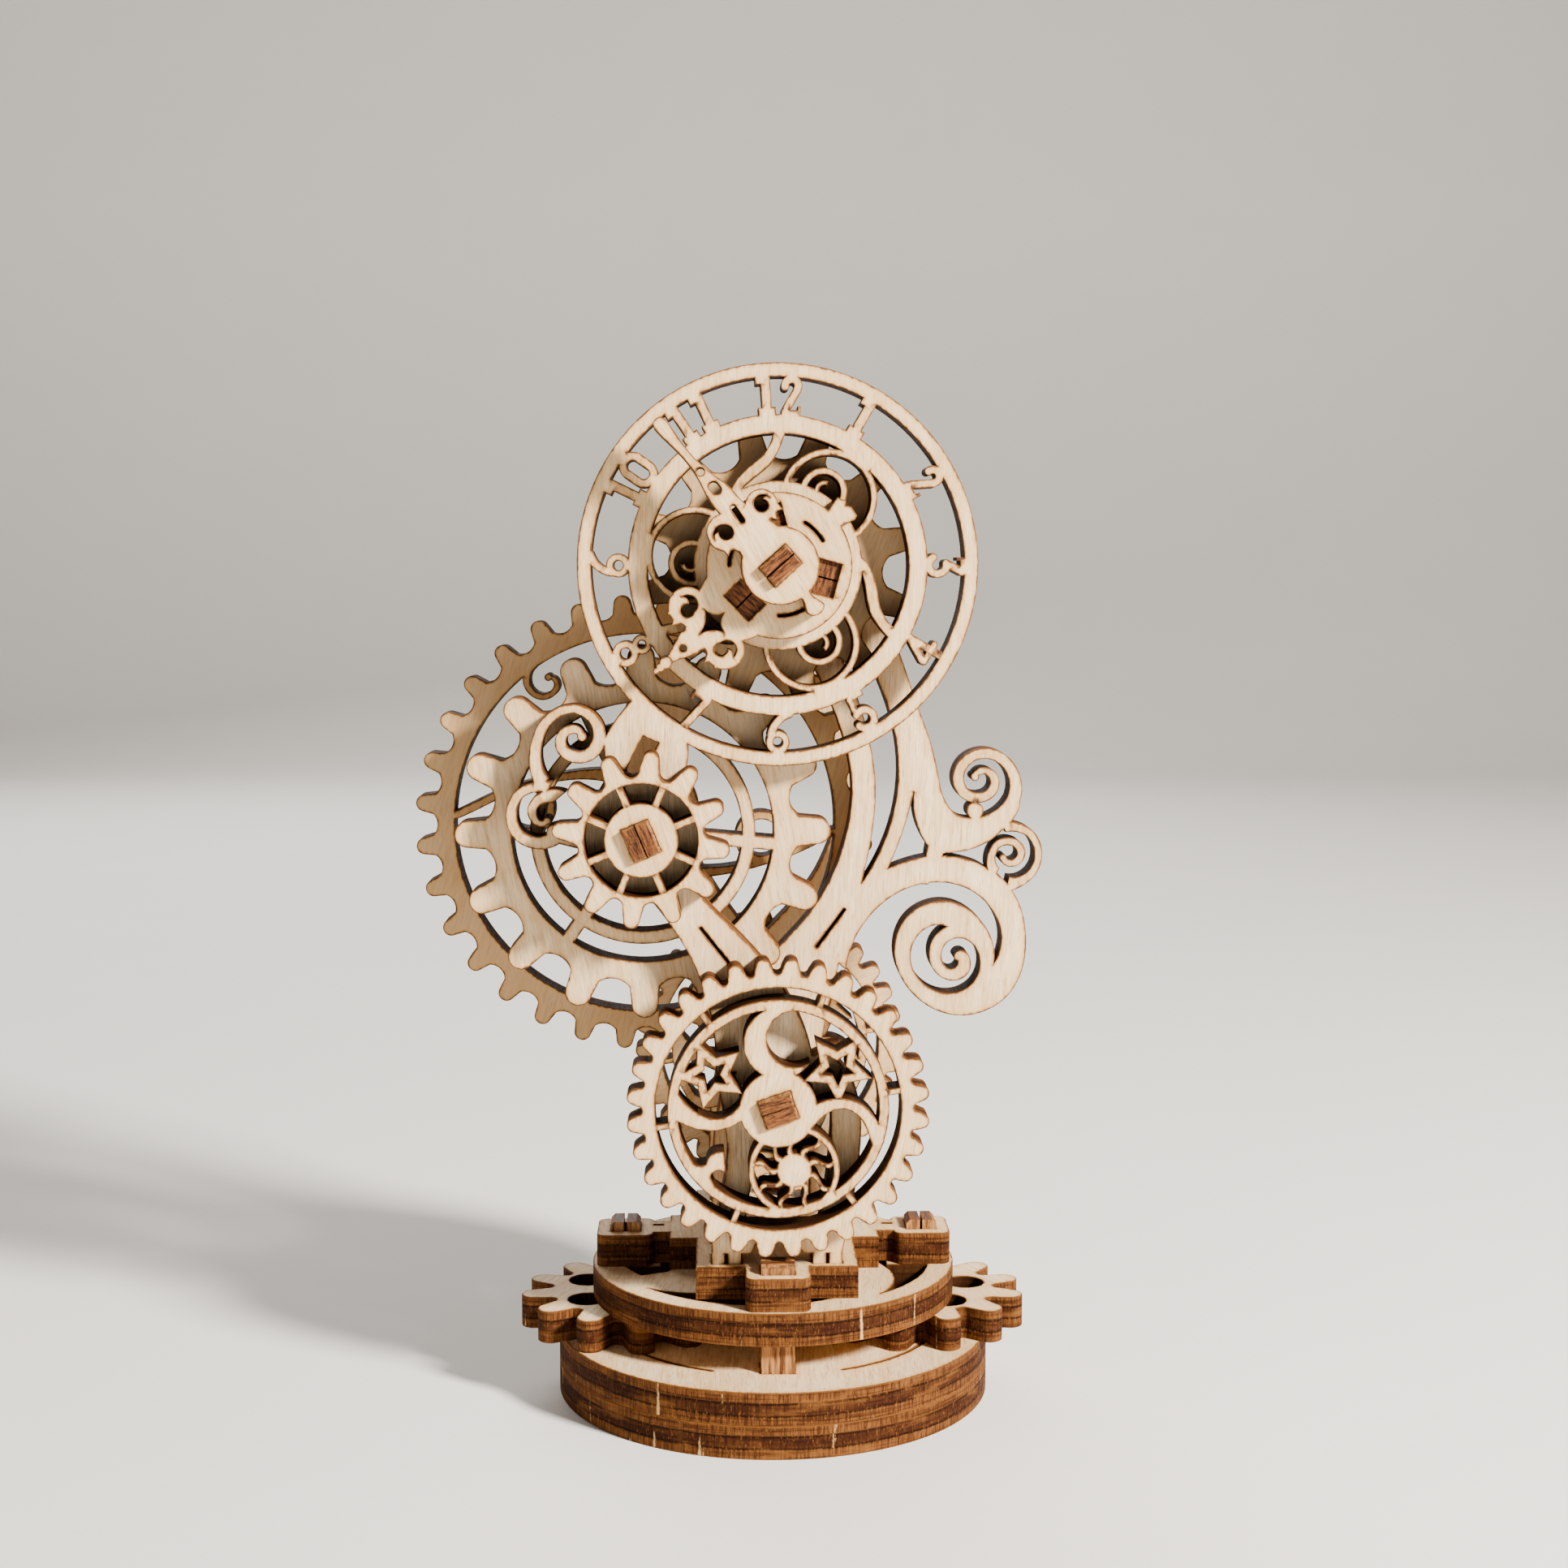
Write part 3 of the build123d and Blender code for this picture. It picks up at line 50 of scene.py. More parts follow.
HALO_STEPS = (0.2, 0.55, 1.2)   # rows of vertices that follow each cut edge on a face, mm
HALO_CLEAR = 0.93         # a halo point is this much of its step away from every edge
CORNER_DEG = 28           # an outline that turns by more than this has a sharp corner
LONGEST_SPAN = 0.8        # longest side of a refined outline, mm
NEAR_REPEAT = 0.012       # outline points closer than this count as one, mm
SAME_AREA = 0.02          # a hole's front and back outlines agree within this, mm2
SAME_PLACE = 0.3          # and their centres within this, mm
FACE_SLACK = 1e-3         # how far a face's corners may be from its level, mm
MERGE_SLACK = 1e-5        # for the triangulation, mm
TINY = 1e-12
BATCH = 2000              # points measured at a time
GRAIN_STEP = 7.31         # moves the grain pattern on from one sheet to the next
BUMP_HEIGHT = 0.03        # depth of the grain, mm
FACE_SLOT, WALL_SLOT = 0, 1     # material slots of a sheet
HULL, INSIDE = 0, 1             # what the triangulation fills

# node: (body, direction of the grain in degrees from the sheet's first axis, tone from 0,
# pale, to 1, brown; the brown is a browner plywood, and on the set-back pieces painted shade)
UPRIGHT = {
    "dial_plate": ("stand", 90, 0.00),
    "scroll_plate": ("stand", 88, 0.06),
    "rear_frame": ("stand", 91, 0.70),
    "front_drive_gear": ("drive", 80, 0.05),
    "rear_drive_gear": ("drive", 20, 0.35),
    "drive_pinion": ("drive", 60, 0.60),
    "big_wheel": ("middle", 74, 0.80),
    "middle_wheel": ("middle", 100, 0.18),
    "cap_gear": ("middle", 108, 0.05),
    "minute_pinion": ("minute", 15, 0.60),
    "minute_hand": ("minute", 118, 0.02),
    "hour_wheel": ("hour", 70, 0.85),
    "hour_hand": ("hour", 112, 0.26),
}
LEVEL = {
    "base_disc_lower": ("stand", 90, 0.20),
    "base_disc_upper": ("stand", 88, 0.08),
    "spacer_gear_left": ("stand", 70, 0.15),
    "spacer_gear_right": ("stand", 118, 0.10),
    "base_ring": ("stand", 84, 0.10),
    "frame_socket": ("stand", 96, 0.12),
}
# node: (body, axis the strip runs along, direction of the strip's long side in degrees)
STRIPS = {
    "drive_axle": ("drive", "Y", 19.0),
    "middle_axle": ("middle", "Y", -67.0),
    "minute_axle": ("minute", "Y", 41.6),
    "hour_peg_1": ("hour", "Y", 75.0),
    "hour_peg_2": ("hour", "Y", 195.0),
    "hour_peg_3": ("hour", "Y", 315.0),
    "base_peg_front": ("stand", "Z", 0.0),
    "base_peg_rear": ("stand", "Z", 0.0),
    "base_peg_left": ("stand", "Z", 90.0),
    "base_peg_right": ("stand", "Z", 90.0),
}


# ---------------------------------------------------------------- outlines from the frame
def cap_loops(node, axis, high):
    """Closed outlines of a sheet's flat face, in mm, with the material on the left."""
    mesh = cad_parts[node].data
    co = np.empty(len(mesh.vertices) * 3)
    mesh.vertices.foreach_get("co", co)
    co = co.reshape(-1, 3) / MM
    key = np.round(co, 3)
    _, first, weld = np.unique(key, axis=0, return_index=True, return_inverse=True)
    weld = weld.reshape(-1)
    points = co[first]
    level = points[:, axis].max() if high else points[:, axis].min()
    u_axis, v_axis = (0, 2) if axis == 1 else (0, 1)
    edges = {}
    for polygon in mesh.polygons:
        corners = [int(weld[i]) for i in polygon.vertices]
        if any(abs(points[i, axis] - level) > FACE_SLACK for i in corners):
            continue
        flat = [(points[i, u_axis], points[i, v_axis]) for i in corners]
        area = sum(a[0] * b[1] - b[0] * a[1] for a, b in zip(flat, flat[1:] + flat[:1]))
        if area < 0:
            corners.reverse()
        for a, b in zip(corners, corners[1:] + corners[:1]):
            if a == b:
                continue
            if (b, a) in edges:
                del edges[(b, a)]
            else:
                edges[(a, b)] = True
    following = {}
    for a, b in edges:
        following.setdefault(a, []).append(b)
    loops = []
    while following:
        start = next(iter(following))
        loop = [start]
        here = start
        while True:
            ahead = following[here].pop()
            if not following[here]:
                del following[here]
            if ahead == start:
                break
            loop.append(ahead)
            here = ahead
        loops.append(np.array([(points[i, u_axis], points[i, v_axis]) for i in loop]))
    loops = [loop for loop in loops if len(loop) > 2]
    loops.sort(key=lambda loop: -abs(signed_area(loop)))
    return loops, level


def signed_area(loop):
    u, v = loop[:, 0], loop[:, 1]
    return 0.5 * float(np.sum(u * np.roll(v, -1) - np.roll(u, -1) * v))


def same_outline(loop, other):
    """Whether two outlines are the front and back of the same cut."""
    same_area = abs(abs(signed_area(loop)) - abs(signed_area(other))) < SAME_AREA
    return same_area and np.hypot(*(loop.mean(axis=0) - other.mean(axis=0))) < SAME_PLACE


def refine(loop):
    """The same outline with no long span and no near-repeats."""
    keep = [loop[0]]
    for point in loop[1:]:
        if np.hypot(*(point - keep[-1])) > NEAR_REPEAT:
            keep.append(point)
    if np.hypot(*(keep[0] - keep[-1])) <= NEAR_REPEAT:
        keep.pop()
    out = []
    for a, b in zip(keep, keep[1:] + keep[:1]):
        count = max(1, math.ceil(np.hypot(*(b - a)) / LONGEST_SPAN))
        out.extend(a + (b - a) * k / count for k in range(count))
    return np.array(out)


def inward_normals(loop):
    """Mitred normals that point into the material, and the turn at each corner in degrees."""
    before = loop - np.roll(loop, 1, axis=0)
    after = np.roll(loop, -1, axis=0) - loop
    before /= np.linalg.norm(before, axis=1)[:, None]
    after /= np.linalg.norm(after, axis=1)[:, None]
    normal_a = np.stack([-before[:, 1], before[:, 0]], 1)
    normal_b = np.stack([-after[:, 1], after[:, 0]], 1)
    middle = normal_a + normal_b
    length = np.linalg.norm(middle, axis=1)
    length[length < 1e-6] = 1e-6
    middle /= length[:, None]
    cosine = np.clip(np.sum(middle * normal_b, axis=1), 0.45, 1)
    cross = before[:, 0] * after[:, 1] - before[:, 1] * after[:, 0]
    turn = np.degrees(np.arctan2(cross, np.sum(before * after, axis=1)))
    return middle / cosine[:, None], turn


def distance_to(points, loops):
    """Distance from each point to the nearest span of any outline."""
    best = np.full(len(points), 1e9)
    for loop in loops:
        a = loop
        b = np.roll(loop, -1, axis=0)
        d = b - a
        dd = np.sum(d * d, axis=1)
        for start in range(0, len(points), BATCH):
            p = points[start:start + BATCH]
            rel = p[:, None, :] - a[None]
            t = np.clip(np.sum(rel * d[None], axis=2) / dd[None], 0, 1)
            gap = rel - t[..., None] * d[None]
            near = np.sqrt(np.min(np.sum(gap * gap, axis=2), axis=1))
            best[start:start + BATCH] = np.minimum(best[start:start + BATCH], near)
    return best


def halo_points(loops):
    """Points inside the material that follow the cut edges at a few set distances."""
    found = []
    cells = set()
    for reach in HALO_STEPS:
        spacing = max(0.16, reach * 0.7)
        for loop in loops:
            normals, _ = inward_normals(loop)
            trial = loop + normals * reach
            gap = distance_to(trial, loops)
            for point, clear in zip(trial, gap):
                if clear < reach * HALO_CLEAR:
                    continue
                cell = (round(point[0] / spacing), round(point[1] / spacing), reach)
                if cell in cells:
                    continue
                cells.add(cell)
                found.append((point[0], point[1], min(clear, HALO_STEPS[-1])))
    return found


def inside_material(points, loops):
    """Which points lie inside the outer outline and outside every hole."""
    crossings = np.zeros(len(points), dtype=int)
    for loop in loops:
        a = loop
        b = np.roll(loop, -1, axis=0)
        rise = np.where(np.abs(b[:, 1] - a[:, 1]) < TINY, TINY, b[:, 1] - a[:, 1])
        slope = (b[:, 0] - a[:, 0]) / rise
        for start in range(0, len(points), BATCH):
            p = points[start:start + BATCH]
            straddles = (a[None, :, 1] > p[:, None, 1]) != (b[None, :, 1] > p[:, None, 1])
            where = a[None, :, 0] + (p[:, None, 1] - a[None, :, 1]) * slope[None]
            crossings[start:start + BATCH] += np.sum(straddles & (p[:, None, 0] < where), axis=1)
    return crossings % 2 == 1


def triangulate(loops, extra):
    """Triangles of the face: constrained to its outlines, with the extra points inside."""
    coords = []
    faces = []
    for loop in loops:
        faces.append(list(range(len(coords), len(coords) + len(loop))))
        coords.extend(Vector((p[0], p[1])) for p in loop)
    outline_count = len(coords)
    coords.extend(Vector((p[0], p[1])) for p in extra)
    verts, _, tris, owners_of, _, _ = delaunay_2d_cdt(coords, [], faces, HULL, MERGE_SLACK, True)
    flat = np.array([(v.x, v.y) for v in verts])
    centres = np.array([flat[list(tri)].mean(axis=0) for tri in tris])
    inside = inside_material(centres, loops)
    kept = [tri for tri, keep in zip(tris, inside) if keep]
    source = [owners[0] if owners else -1 for owners in owners_of]
    return [(v.x, v.y) for v in verts], kept, source, outline_count


# ---------------------------------------------------------------- meshes
def corner_marks(loop):
    _, turn = inward_normals(loop)
    return np.abs(turn) > CORNER_DEG


def run_lengths(loop):
    """Distance along the outline to each of its points."""
    step = np.linalg.norm(np.roll(loop, -1, axis=0) - loop, axis=1)
    return np.concatenate([[0], np.cumsum(step)[:-1]])


def store(mesh, name, kind, domain, values):
    """Write one attribute of a mesh."""
    layer = mesh.attributes.new(name, kind, domain)
    layer.data.foreach_set("vector" if kind == "FLOAT_VECTOR" else "value", values)


def build_sheet(node, body, axis, grain_deg, tone_and_shade, number):
    """A finished sheet that stands for a CAD sheet: dense faces, worn edges, cut walls."""
    front_high = axis == 2
    loops, level = cap_loops(node, axis, front_high)
    back_loops, _ = cap_loops(node, axis, not front_high)
    loops = [refine(loop) for loop in loops]
    back_loops = [refine(loop) for loop in back_loops]
    is_groove = [not any(same_outline(loop, other) for other in back_loops) for loop in loops]
    same_back = not any(is_groove)

    verts = []
    faces = []
    materials = []
    edge_gap = []
    wall = []
    smooth = []
    sharp = set()

    def add(u, v, depth, gap, run=0.0, scorch_and_hole_shade=0.0):
        if axis == 1:
            verts.append((u, level + depth, v))
        else:
            verts.append((u, v, level - depth))
        edge_gap.append(gap)
        wall.append((run, depth, scorch_and_hole_shade))
        return len(verts) - 1

    def add_face(ring, slot_number, is_smooth):
        faces.append(ring)
        materials.append(slot_number)
        smooth.append(is_smooth)

    def add_ring(loop, depth, scorch_and_hole_shade):
        return [add(p[0], p[1], depth, 0.0, run, scorch_and_hole_shade) for p, run in zip(loop, run_lengths(loop))]

    def add_cap(cap_outlines, depth, flip):
        extra = halo_points(cap_outlines)
        points, tris, source, outline_count = triangulate(cap_outlines, extra)
        shift = np.concatenate([inward_normals(loop)[0] * CHAMFER for loop in cap_outlines])
        index = []
        for (u, v), origin in zip(points, source):
            if 0 <= origin < outline_count:
                index.append(add(u + shift[origin][0], v + shift[origin][1], depth, 0.0))
            elif origin >= outline_count:
                index.append(add(u, v, depth, extra[origin - outline_count][2]))
            else:
                index.append(add(u, v, depth, 0.0))
        for tri in tris:
            ring = [index[i] for i in tri]
            if flip:
                ring.reverse()
            add_face(ring, FACE_SLOT, False)
        return {origin: index[i] for i, origin in enumerate(source) if 0 <= origin < outline_count}

    def add_walls(loop, rings):
        """Bands of quads between successive rings of vertex indices."""
        marks = corner_marks(loop)
        count = len(loop)
        for upper, lower in zip(rings, rings[1:]):
            for k in range(count):
                n = (k + 1) % count
                add_face([upper[k], lower[k], lower[n], upper[n]], WALL_SLOT, True)
                if marks[k]:
                    sharp.add((min(upper[k], lower[k]), max(upper[k], lower[k])))
        for ring in rings:
            for k in range(count):
                n = (k + 1) % count
                sharp.add((min(ring[k], ring[n]), max(ring[k], ring[n])))

    def back_ring(loop):
        """The back face's vertices nearest to the outline's points."""
        start = 0
        for other in back_loops:
            if same_outline(loop, other):
                partner = other
                partner_start = start
            start += len(other)
        nearest = np.linalg.norm(partner[None] - loop[:, None], axis=2).argmin(axis=1)
        return [back[partner_start + int(k)] for k in nearest]

    front = add_cap(loops, 0.0, False)
    back = add_cap(loops if same_back else back_loops, PLY, True)
    start = 0
    for loop, groove in zip(loops, is_groove):
        count = len(loop)
        top = [front[start + k] for k in range(count)]
        if groove:
            low = add_ring(loop, GROOVE_DEPTH, 1.0)
            rim = add_ring(loop, GROOVE_RIM, 1.0)
            add_walls(loop, [top, rim, low])
            floor = [Vector((p[0], p[1])) for p in loop]
            _, _, tris, owners_of, _, _ = delaunay_2d_cdt(
                floor, [], [list(range(count))], INSIDE, MERGE_SLACK, True)
            for tri in tris:
                add_face([low[owners_of[i][0]] for i in tri], WALL_SLOT, False)
        else:
            # the walls inside holes are darkened: painted shade in the hollow
            scorch_and_hole_shade = 1.0 if signed_area(loop) < 0 else 0.0
            upper = add_ring(loop, CHAMFER, scorch_and_hole_shade)
            lower = add_ring(loop, PLY - CHAMFER, scorch_and_hole_shade)
            bottom = [back[start + k] for k in range(count)] if same_back else back_ring(loop)
            add_walls(loop, [top, upper, lower, bottom])
        start += count

    mesh = bpy.data.meshes.new("visual_" + node)
    scaled = [(x * MM, y * MM, z * MM) for x, y, z in verts]
    mesh.from_pydata(scaled, [], faces)
    mesh.polygons.foreach_set("material_index", materials)
    mesh.polygons.foreach_set("use_smooth", smooth)
    flat = np.array(verts)
    u = flat[:, 0]
    v = flat[:, 2] if axis == 1 else flat[:, 1]
    cos_g, sin_g = math.cos(math.radians(grain_deg)), math.sin(math.radians(grain_deg))
    shifted = np.full(len(u), number * GRAIN_STEP)
    grain = np.stack([u * cos_g + v * sin_g, -u * sin_g + v * cos_g, shifted], 1)
    store(mesh, "grain", "FLOAT_VECTOR", "POINT", grain.astype(np.float32).ravel())
    store(mesh, "wall", "FLOAT_VECTOR", "POINT", np.array(wall, dtype=np.float32).ravel())
    store(mesh, "cut_gap", "FLOAT", "POINT", np.array(edge_gap, dtype=np.float32))
    store(mesh, "tone_and_shade", "FLOAT", "POINT", np.full(len(u), tone_and_shade, dtype=np.float32))
    edge_flags = [tuple(sorted(edge.vertices)) in sharp for edge in mesh.edges]
    store(mesh, "sharp_edge", "BOOLEAN", "EDGE", edge_flags)
    mesh.validate()
    piece = bpy.data.objects.new("visual_" + node, mesh)
    bpy.context.scene.collection.objects.link(piece)
    mesh.materials.append(FACE)
    mesh.materials.append(EDGE if axis == 1 else DARK_EDGE)
    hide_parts(node)
    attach(piece, body)


# ---------------------------------------------------------------- materials
class Tree:
    """Short names for building a node material."""

    def __init__(self, name):
        self.material = bpy.data.materials.new(name)
        self.material.use_nodes = True
        self.nodes = self.material.node_tree.nodes
        self.links = self.material.node_tree.links
        self.nodes.clear()
        self.output = self.nodes.new("ShaderNodeOutputMaterial")
        self.shader = self.nodes.new("ShaderNodeBsdfPrincipled")
        self.links.new(self.shader.outputs["BSDF"], self.output.inputs["Surface"])

    def plug(self, value, socket):
        if isinstance(value, bpy.types.NodeSocket):
            self.links.new(value, socket)
        elif value is not None:
            socket.default_value = value

    def attribute(self, name, output="Vector"):
        node = self.nodes.new("ShaderNodeAttribute")
        node.attribute_name = name
        return node.outputs[output]

    def scale(self, vector, factors, offset=(0, 0, 0), turn=(0, 0, 0)):
        node = self.nodes.new("ShaderNodeMapping")
        node.inputs["Scale"].default_value = factors
        node.inputs["Location"].default_value = offset
        node.inputs["Rotation"].default_value = turn
        self.plug(vector, node.inputs["Vector"])
        return node.outputs["Vector"]

    def noise(self, vector, scale=1.0, detail=3.0, rough=0.5, warp=0.0):
        node = self.nodes.new("ShaderNodeTexNoise")
        self.plug(vector, node.inputs["Vector"])
        node.inputs["Scale"].default_value = scale
        node.inputs["Detail"].default_value = detail
        node.inputs["Roughness"].default_value = rough
        node.inputs["Distortion"].default_value = warp
        return node.outputs["Fac"]

    def span(self, value, low, high, to_low=0.0, to_high=1.0):
        node = self.nodes.new("ShaderNodeMapRange")
        node.interpolation_type = "SMOOTHSTEP"
        self.plug(value, node.inputs["Value"])
        node.inputs["From Min"].default_value = low
        node.inputs["From Max"].default_value = high
        node.inputs["To Min"].default_value = to_low
        node.inputs["To Max"].default_value = to_high
        return node.outputs["Result"]

    def math(self, operation, a, b=None, clamp=False):
        node = self.nodes.new("ShaderNodeMath")
        node.operation = operation
        node.use_clamp = clamp
        self.plug(a, node.inputs[0])
        self.plug(b, node.inputs[1])
        return node.outputs[0]

    def mix(self, factor, a, b):
        node = self.nodes.new("ShaderNodeMix")
        node.data_type = "RGBA"
        self.plug(factor, node.inputs[0])
        self.plug(a, node.inputs[6])
        self.plug(b, node.inputs[7])
        return node.outputs[2]

    def split(self, vector, part):
        node = self.nodes.new("ShaderNodeSeparateXYZ")
        self.plug(vector, node.inputs[0])
        return node.outputs[part]

    def join(self, *parts):
        node = self.nodes.new("ShaderNodeCombineXYZ")
        for part, socket in zip(parts, node.inputs):
            self.plug(part, socket)
        return node.outputs[0]

    def bump(self, height, strength):
        node = self.nodes.new("ShaderNodeBump")
        self.plug(height, node.inputs["Height"])
        node.inputs["Strength"].default_value = strength
        node.inputs["Distance"].default_value = BUMP_HEIGHT * MM
        self.links.new(node.outputs["Normal"], self.shader.inputs["Normal"])


def rgb(r, g, b):
    return (r, g, b, 1.0)


BIRCH_PALE = rgb(0.84, 0.63, 0.39)
BIRCH_WARM = rgb(0.67, 0.44, 0.225)
BIRCH_FIBRE = rgb(0.50, 0.31, 0.145)
# pale fibres, with a painted sheen on them
BIRCH_PALE_FIBRE_AND_SHEEN = rgb(0.95, 0.81, 0.61)
BIRCH_PORE = rgb(0.34, 0.19, 0.09)
BIRCH_CLOUD = rgb(0.70, 0.49, 0.30)
# browner plywood, and painted shade on the pieces set back behind the others
BIRCH_BROWN_AND_SHADE = rgb(0.38, 0.215, 0.088)        # what a sheet's tone turns it towards
SCORCH_GOLD = rgb(0.60, 0.34, 0.11)
SCORCH_BROWN = rgb(0.42, 0.19, 0.045)
SCORCH_BLACK = rgb(0.045, 0.016, 0.006)

WALL_PALE = rgb(0.20, 0.078, 0.021)
WALL_MID = rgb(0.065, 0.021, 0.006)
WALL_PALE_BASE = rgb(0.165, 0.062, 0.017)
WALL_MID_BASE = rgb(0.042, 0.013, 0.004)
WALL_LAYER = rgb(0.028, 0.008, 0.003)
WALL_CORE = rgb(0.020, 0.0050, 0.0028)
WALL_GLUE = rgb(0.004, 0.0015, 0.001)
WALL_PATCH = rgb(0.27, 0.105, 0.025)
WALL_SPECK = rgb(0.30, 0.122, 0.030)
WALL_BARE = rgb(0.66, 0.41, 0.17)           # streak that the laser left unburnt
WALL_SCORCH_AND_HOLE_SHADE = rgb(0.022, 0.0075, 0.0028)
WALL_RIM = rgb(0.22, 0.085, 0.02)

STRIP_END_DARK = rgb(0.020, 0.006, 0.002)
STRIP_END = rgb(0.19, 0.062, 0.016)
STRIP_CRACK = rgb(0.010, 0.003, 0.001)
STRIP_SIDE_DARK = rgb(0.085, 0.028, 0.008)
STRIP_SIDE = rgb(0.42, 0.20, 0.065)

FLOOR_WARM = rgb(0.78, 0.76, 0.73)
FLOOR_PALE = rgb(0.82, 0.80, 0.77)


def face_material():
    """Pale birch veneer, with fibres, pores, figure, and a golden scorch beside each cut."""
    t = Tree("birch_face")
    grain = t.attribute("grain")
    gap = t.attribute("cut_gap", "Fac")
    tone_and_shade = t.attribute("tone_and_shade", "Fac")
    figure = t.noise(t.scale(grain, (0.03, 0.34, 1.0)), 1.0, 4.0, 0.55, 0.7)
    fibre = t.noise(t.scale(grain, (0.28, 3.4, 1.0)), 1.0, 4.0, 0.62, 0.3)
    fine = t.noise(t.scale(grain, (0.8, 9.5, 1.0)), 1.0, 2.0, 0.55)
    pore_noise = t.noise(t.scale(grain, (0.55, 6.5, 1.0), (3.1, 8.7, 2.0)), 1.0, 1.0, 0.4)
    pores = t.span(pore_noise, 0.63, 0.72)
    cloud = t.noise(t.scale(grain, (0.08, 0.15, 1.0), (5.0, 1.0, 4.0)), 1.0, 2.0, 0.5)
    colour = t.mix(t.span(figure, 0.3, 0.72), BIRCH_PALE, BIRCH_WARM)
    colour = t.mix(t.span(fibre, 0.40, 0.68, 0.0, 0.70), colour, BIRCH_FIBRE)
    # pale fibres between the brown ones, partly a painted sheen
    colour = t.mix(t.span(fine, 0.48, 0.75, 0.0, 0.42), colour, BIRCH_PALE_FIBRE_AND_SHEEN)
    colour = t.mix(t.math("MULTIPLY", pores, 0.55), colour, BIRCH_PORE)
    colour = t.mix(t.span(cloud, 0.45, 0.75, 0.0, 0.3), colour, BIRCH_CLOUD)
    # a sheet's tone: browner plywood on some sheets, and painted shade on the set-back pieces
    colour = t.mix(t.math("MULTIPLY", tone_and_shade, 0.80), colour, BIRCH_BROWN_AND_SHADE)
    flicker = t.span(t.noise(t.scale(grain, (1.2, 2.4, 1.0)), 1.0, 2.0), 0.2, 0.8, -0.09, 0.09)
    ragged = t.math("ADD", gap, flicker)
    colour = t.mix(t.span(ragged, 0.05, 0.95, 0.50, 0.0), colour, SCORCH_GOLD)
    colour = t.mix(t.span(ragged, 0.0, 0.34, 0.80, 0.0), colour, SCORCH_BROWN)
    colour = t.mix(t.span(ragged, -0.05, 0.17, 1.0, 0.0), colour, SCORCH_BLACK)
    t.plug(colour, t.shader.inputs["Base Color"])
    t.plug(t.span(fibre, 0.2, 0.8, 0.5, 0.68), t.shader.inputs["Roughness"])
    t.shader.inputs["Specular IOR Level"].default_value = 0.2
    t.bump(t.math("SUBTRACT", fibre, t.math("MULTIPLY", pores, 0.6)), 0.45)
    return t.material


def edge_material(name, of_base):
    """Laser-cut wall: three veneers with scorched glue lines and fine scorch marks across them.
    Walls in scored lines are darkened as scorch, walls inside holes as painted shade.
    """
    t = Tree(name)
    wall = t.attribute("wall")
    grain = t.attribute("grain")
    run = t.split(wall, 0)
    depth = t.split(wall, 1)
    scorch_and_hole_shade = t.split(wall, 2)
    place = t.join(run, depth, t.split(grain, 2))
    streak = t.noise(t.scale(place, (5.5, 0.45, 1.0)), 1.0, 5.0, 0.7)
    speck = t.noise(t.scale(place, (6.0, 1.8, 1.0), (1.0, 6.0, 3.0)), 1.0, 4.0, 0.75)
    patch = t.noise(t.scale(place, (0.20, 0.8, 1.0), (4.0, 2.0, 1.0)), 1.0, 3.0, 0.5)
    layers = t.noise(t.scale(place, (0.12, 3.6, 1.0), (2.0, 9.0, 5.0)), 1.0, 4.0, 0.65)
    wander = t.span(t.noise(t.scale(place, (0.12, 0.1, 1.0)), 1.0, 1.0), 0.2, 0.8, -0.07, 0.07)
    ragged = t.span(streak, 0.25, 0.75, -0.07, 0.07)
    level = t.math("ADD", t.math("ADD", depth, wander), ragged)
    core = t.math("MULTIPLY", t.span(level, 0.80, 1.06), t.span(level, 1.94, 2.20, 1.0, 0.0))
    glue = None
    for glue_depth in GLUE_LINES:
        off = t.math("ABSOLUTE", t.math("SUBTRACT", level, glue_depth))
        line = t.math("SUBTRACT", 1.0, t.math("MULTIPLY", off, 6.5), True)
        glue = line if glue is None else t.math("MAXIMUM", glue, line)
    pale = WALL_PALE_BASE if of_base else WALL_PALE
    mid = WALL_MID_BASE if of_base else WALL_MID
    colour = t.mix(t.span(streak, 0.34, 0.66), mid, pale)
    colour = t.mix(t.span(layers, 0.46, 0.62, 0.0, 0.78), colour, WALL_LAYER)
    core_share = t.math("MULTIPLY", core, t.span(patch, 0.3, 0.7, 0.88, 0.50))
    colour = t.mix(core_share, colour, WALL_CORE)
    colour = t.mix(t.math("MULTIPLY", glue, 0.92), colour, WALL_GLUE)
    colour = t.mix(t.span(patch, 0.55, 0.78, 0.0, 0.45), colour, WALL_PATCH)
    colour = t.mix(t.span(speck, 0.54, 0.72, 0.0, 0.45), colour, WALL_SPECK)
    if of_base:
        along = t.noise(t.scale(place, (1.2, 0.10, 1.0), (7.0, 1.0, 8.0)), 1.0, 1.0, 0.3)
        along = t.math("ADD", along, t.span(speck, 0.3, 0.7, -0.03, 0.02))
        colour = t.mix(t.span(along, 0.715, 0.76, 0.0, 0.75), colour, WALL_BARE)
    # darker walls: scorch in scored lines, painted shade inside holes
    colour = t.mix(t.math("MULTIPLY", scorch_and_hole_shade, 0.80), colour, WALL_SCORCH_AND_HOLE_SHADE)
    rim = t.math("MINIMUM", depth, t.math("SUBTRACT", PLY, depth))
    colour = t.mix(t.span(rim, 0.0, 0.14, 0.5, 0.0), colour, WALL_RIM)
    t.plug(colour, t.shader.inputs["Base Color"])
    t.plug(t.span(streak, 0.3, 0.8, 0.55, 0.85), t.shader.inputs["Roughness"])
    t.shader.inputs["Specular IOR Level"].default_value = 0.03
    t.bump(t.math("SUBTRACT", t.math("ADD", streak, speck), t.math("MULTIPLY", core, 0.25)), 0.8)
    return t.material


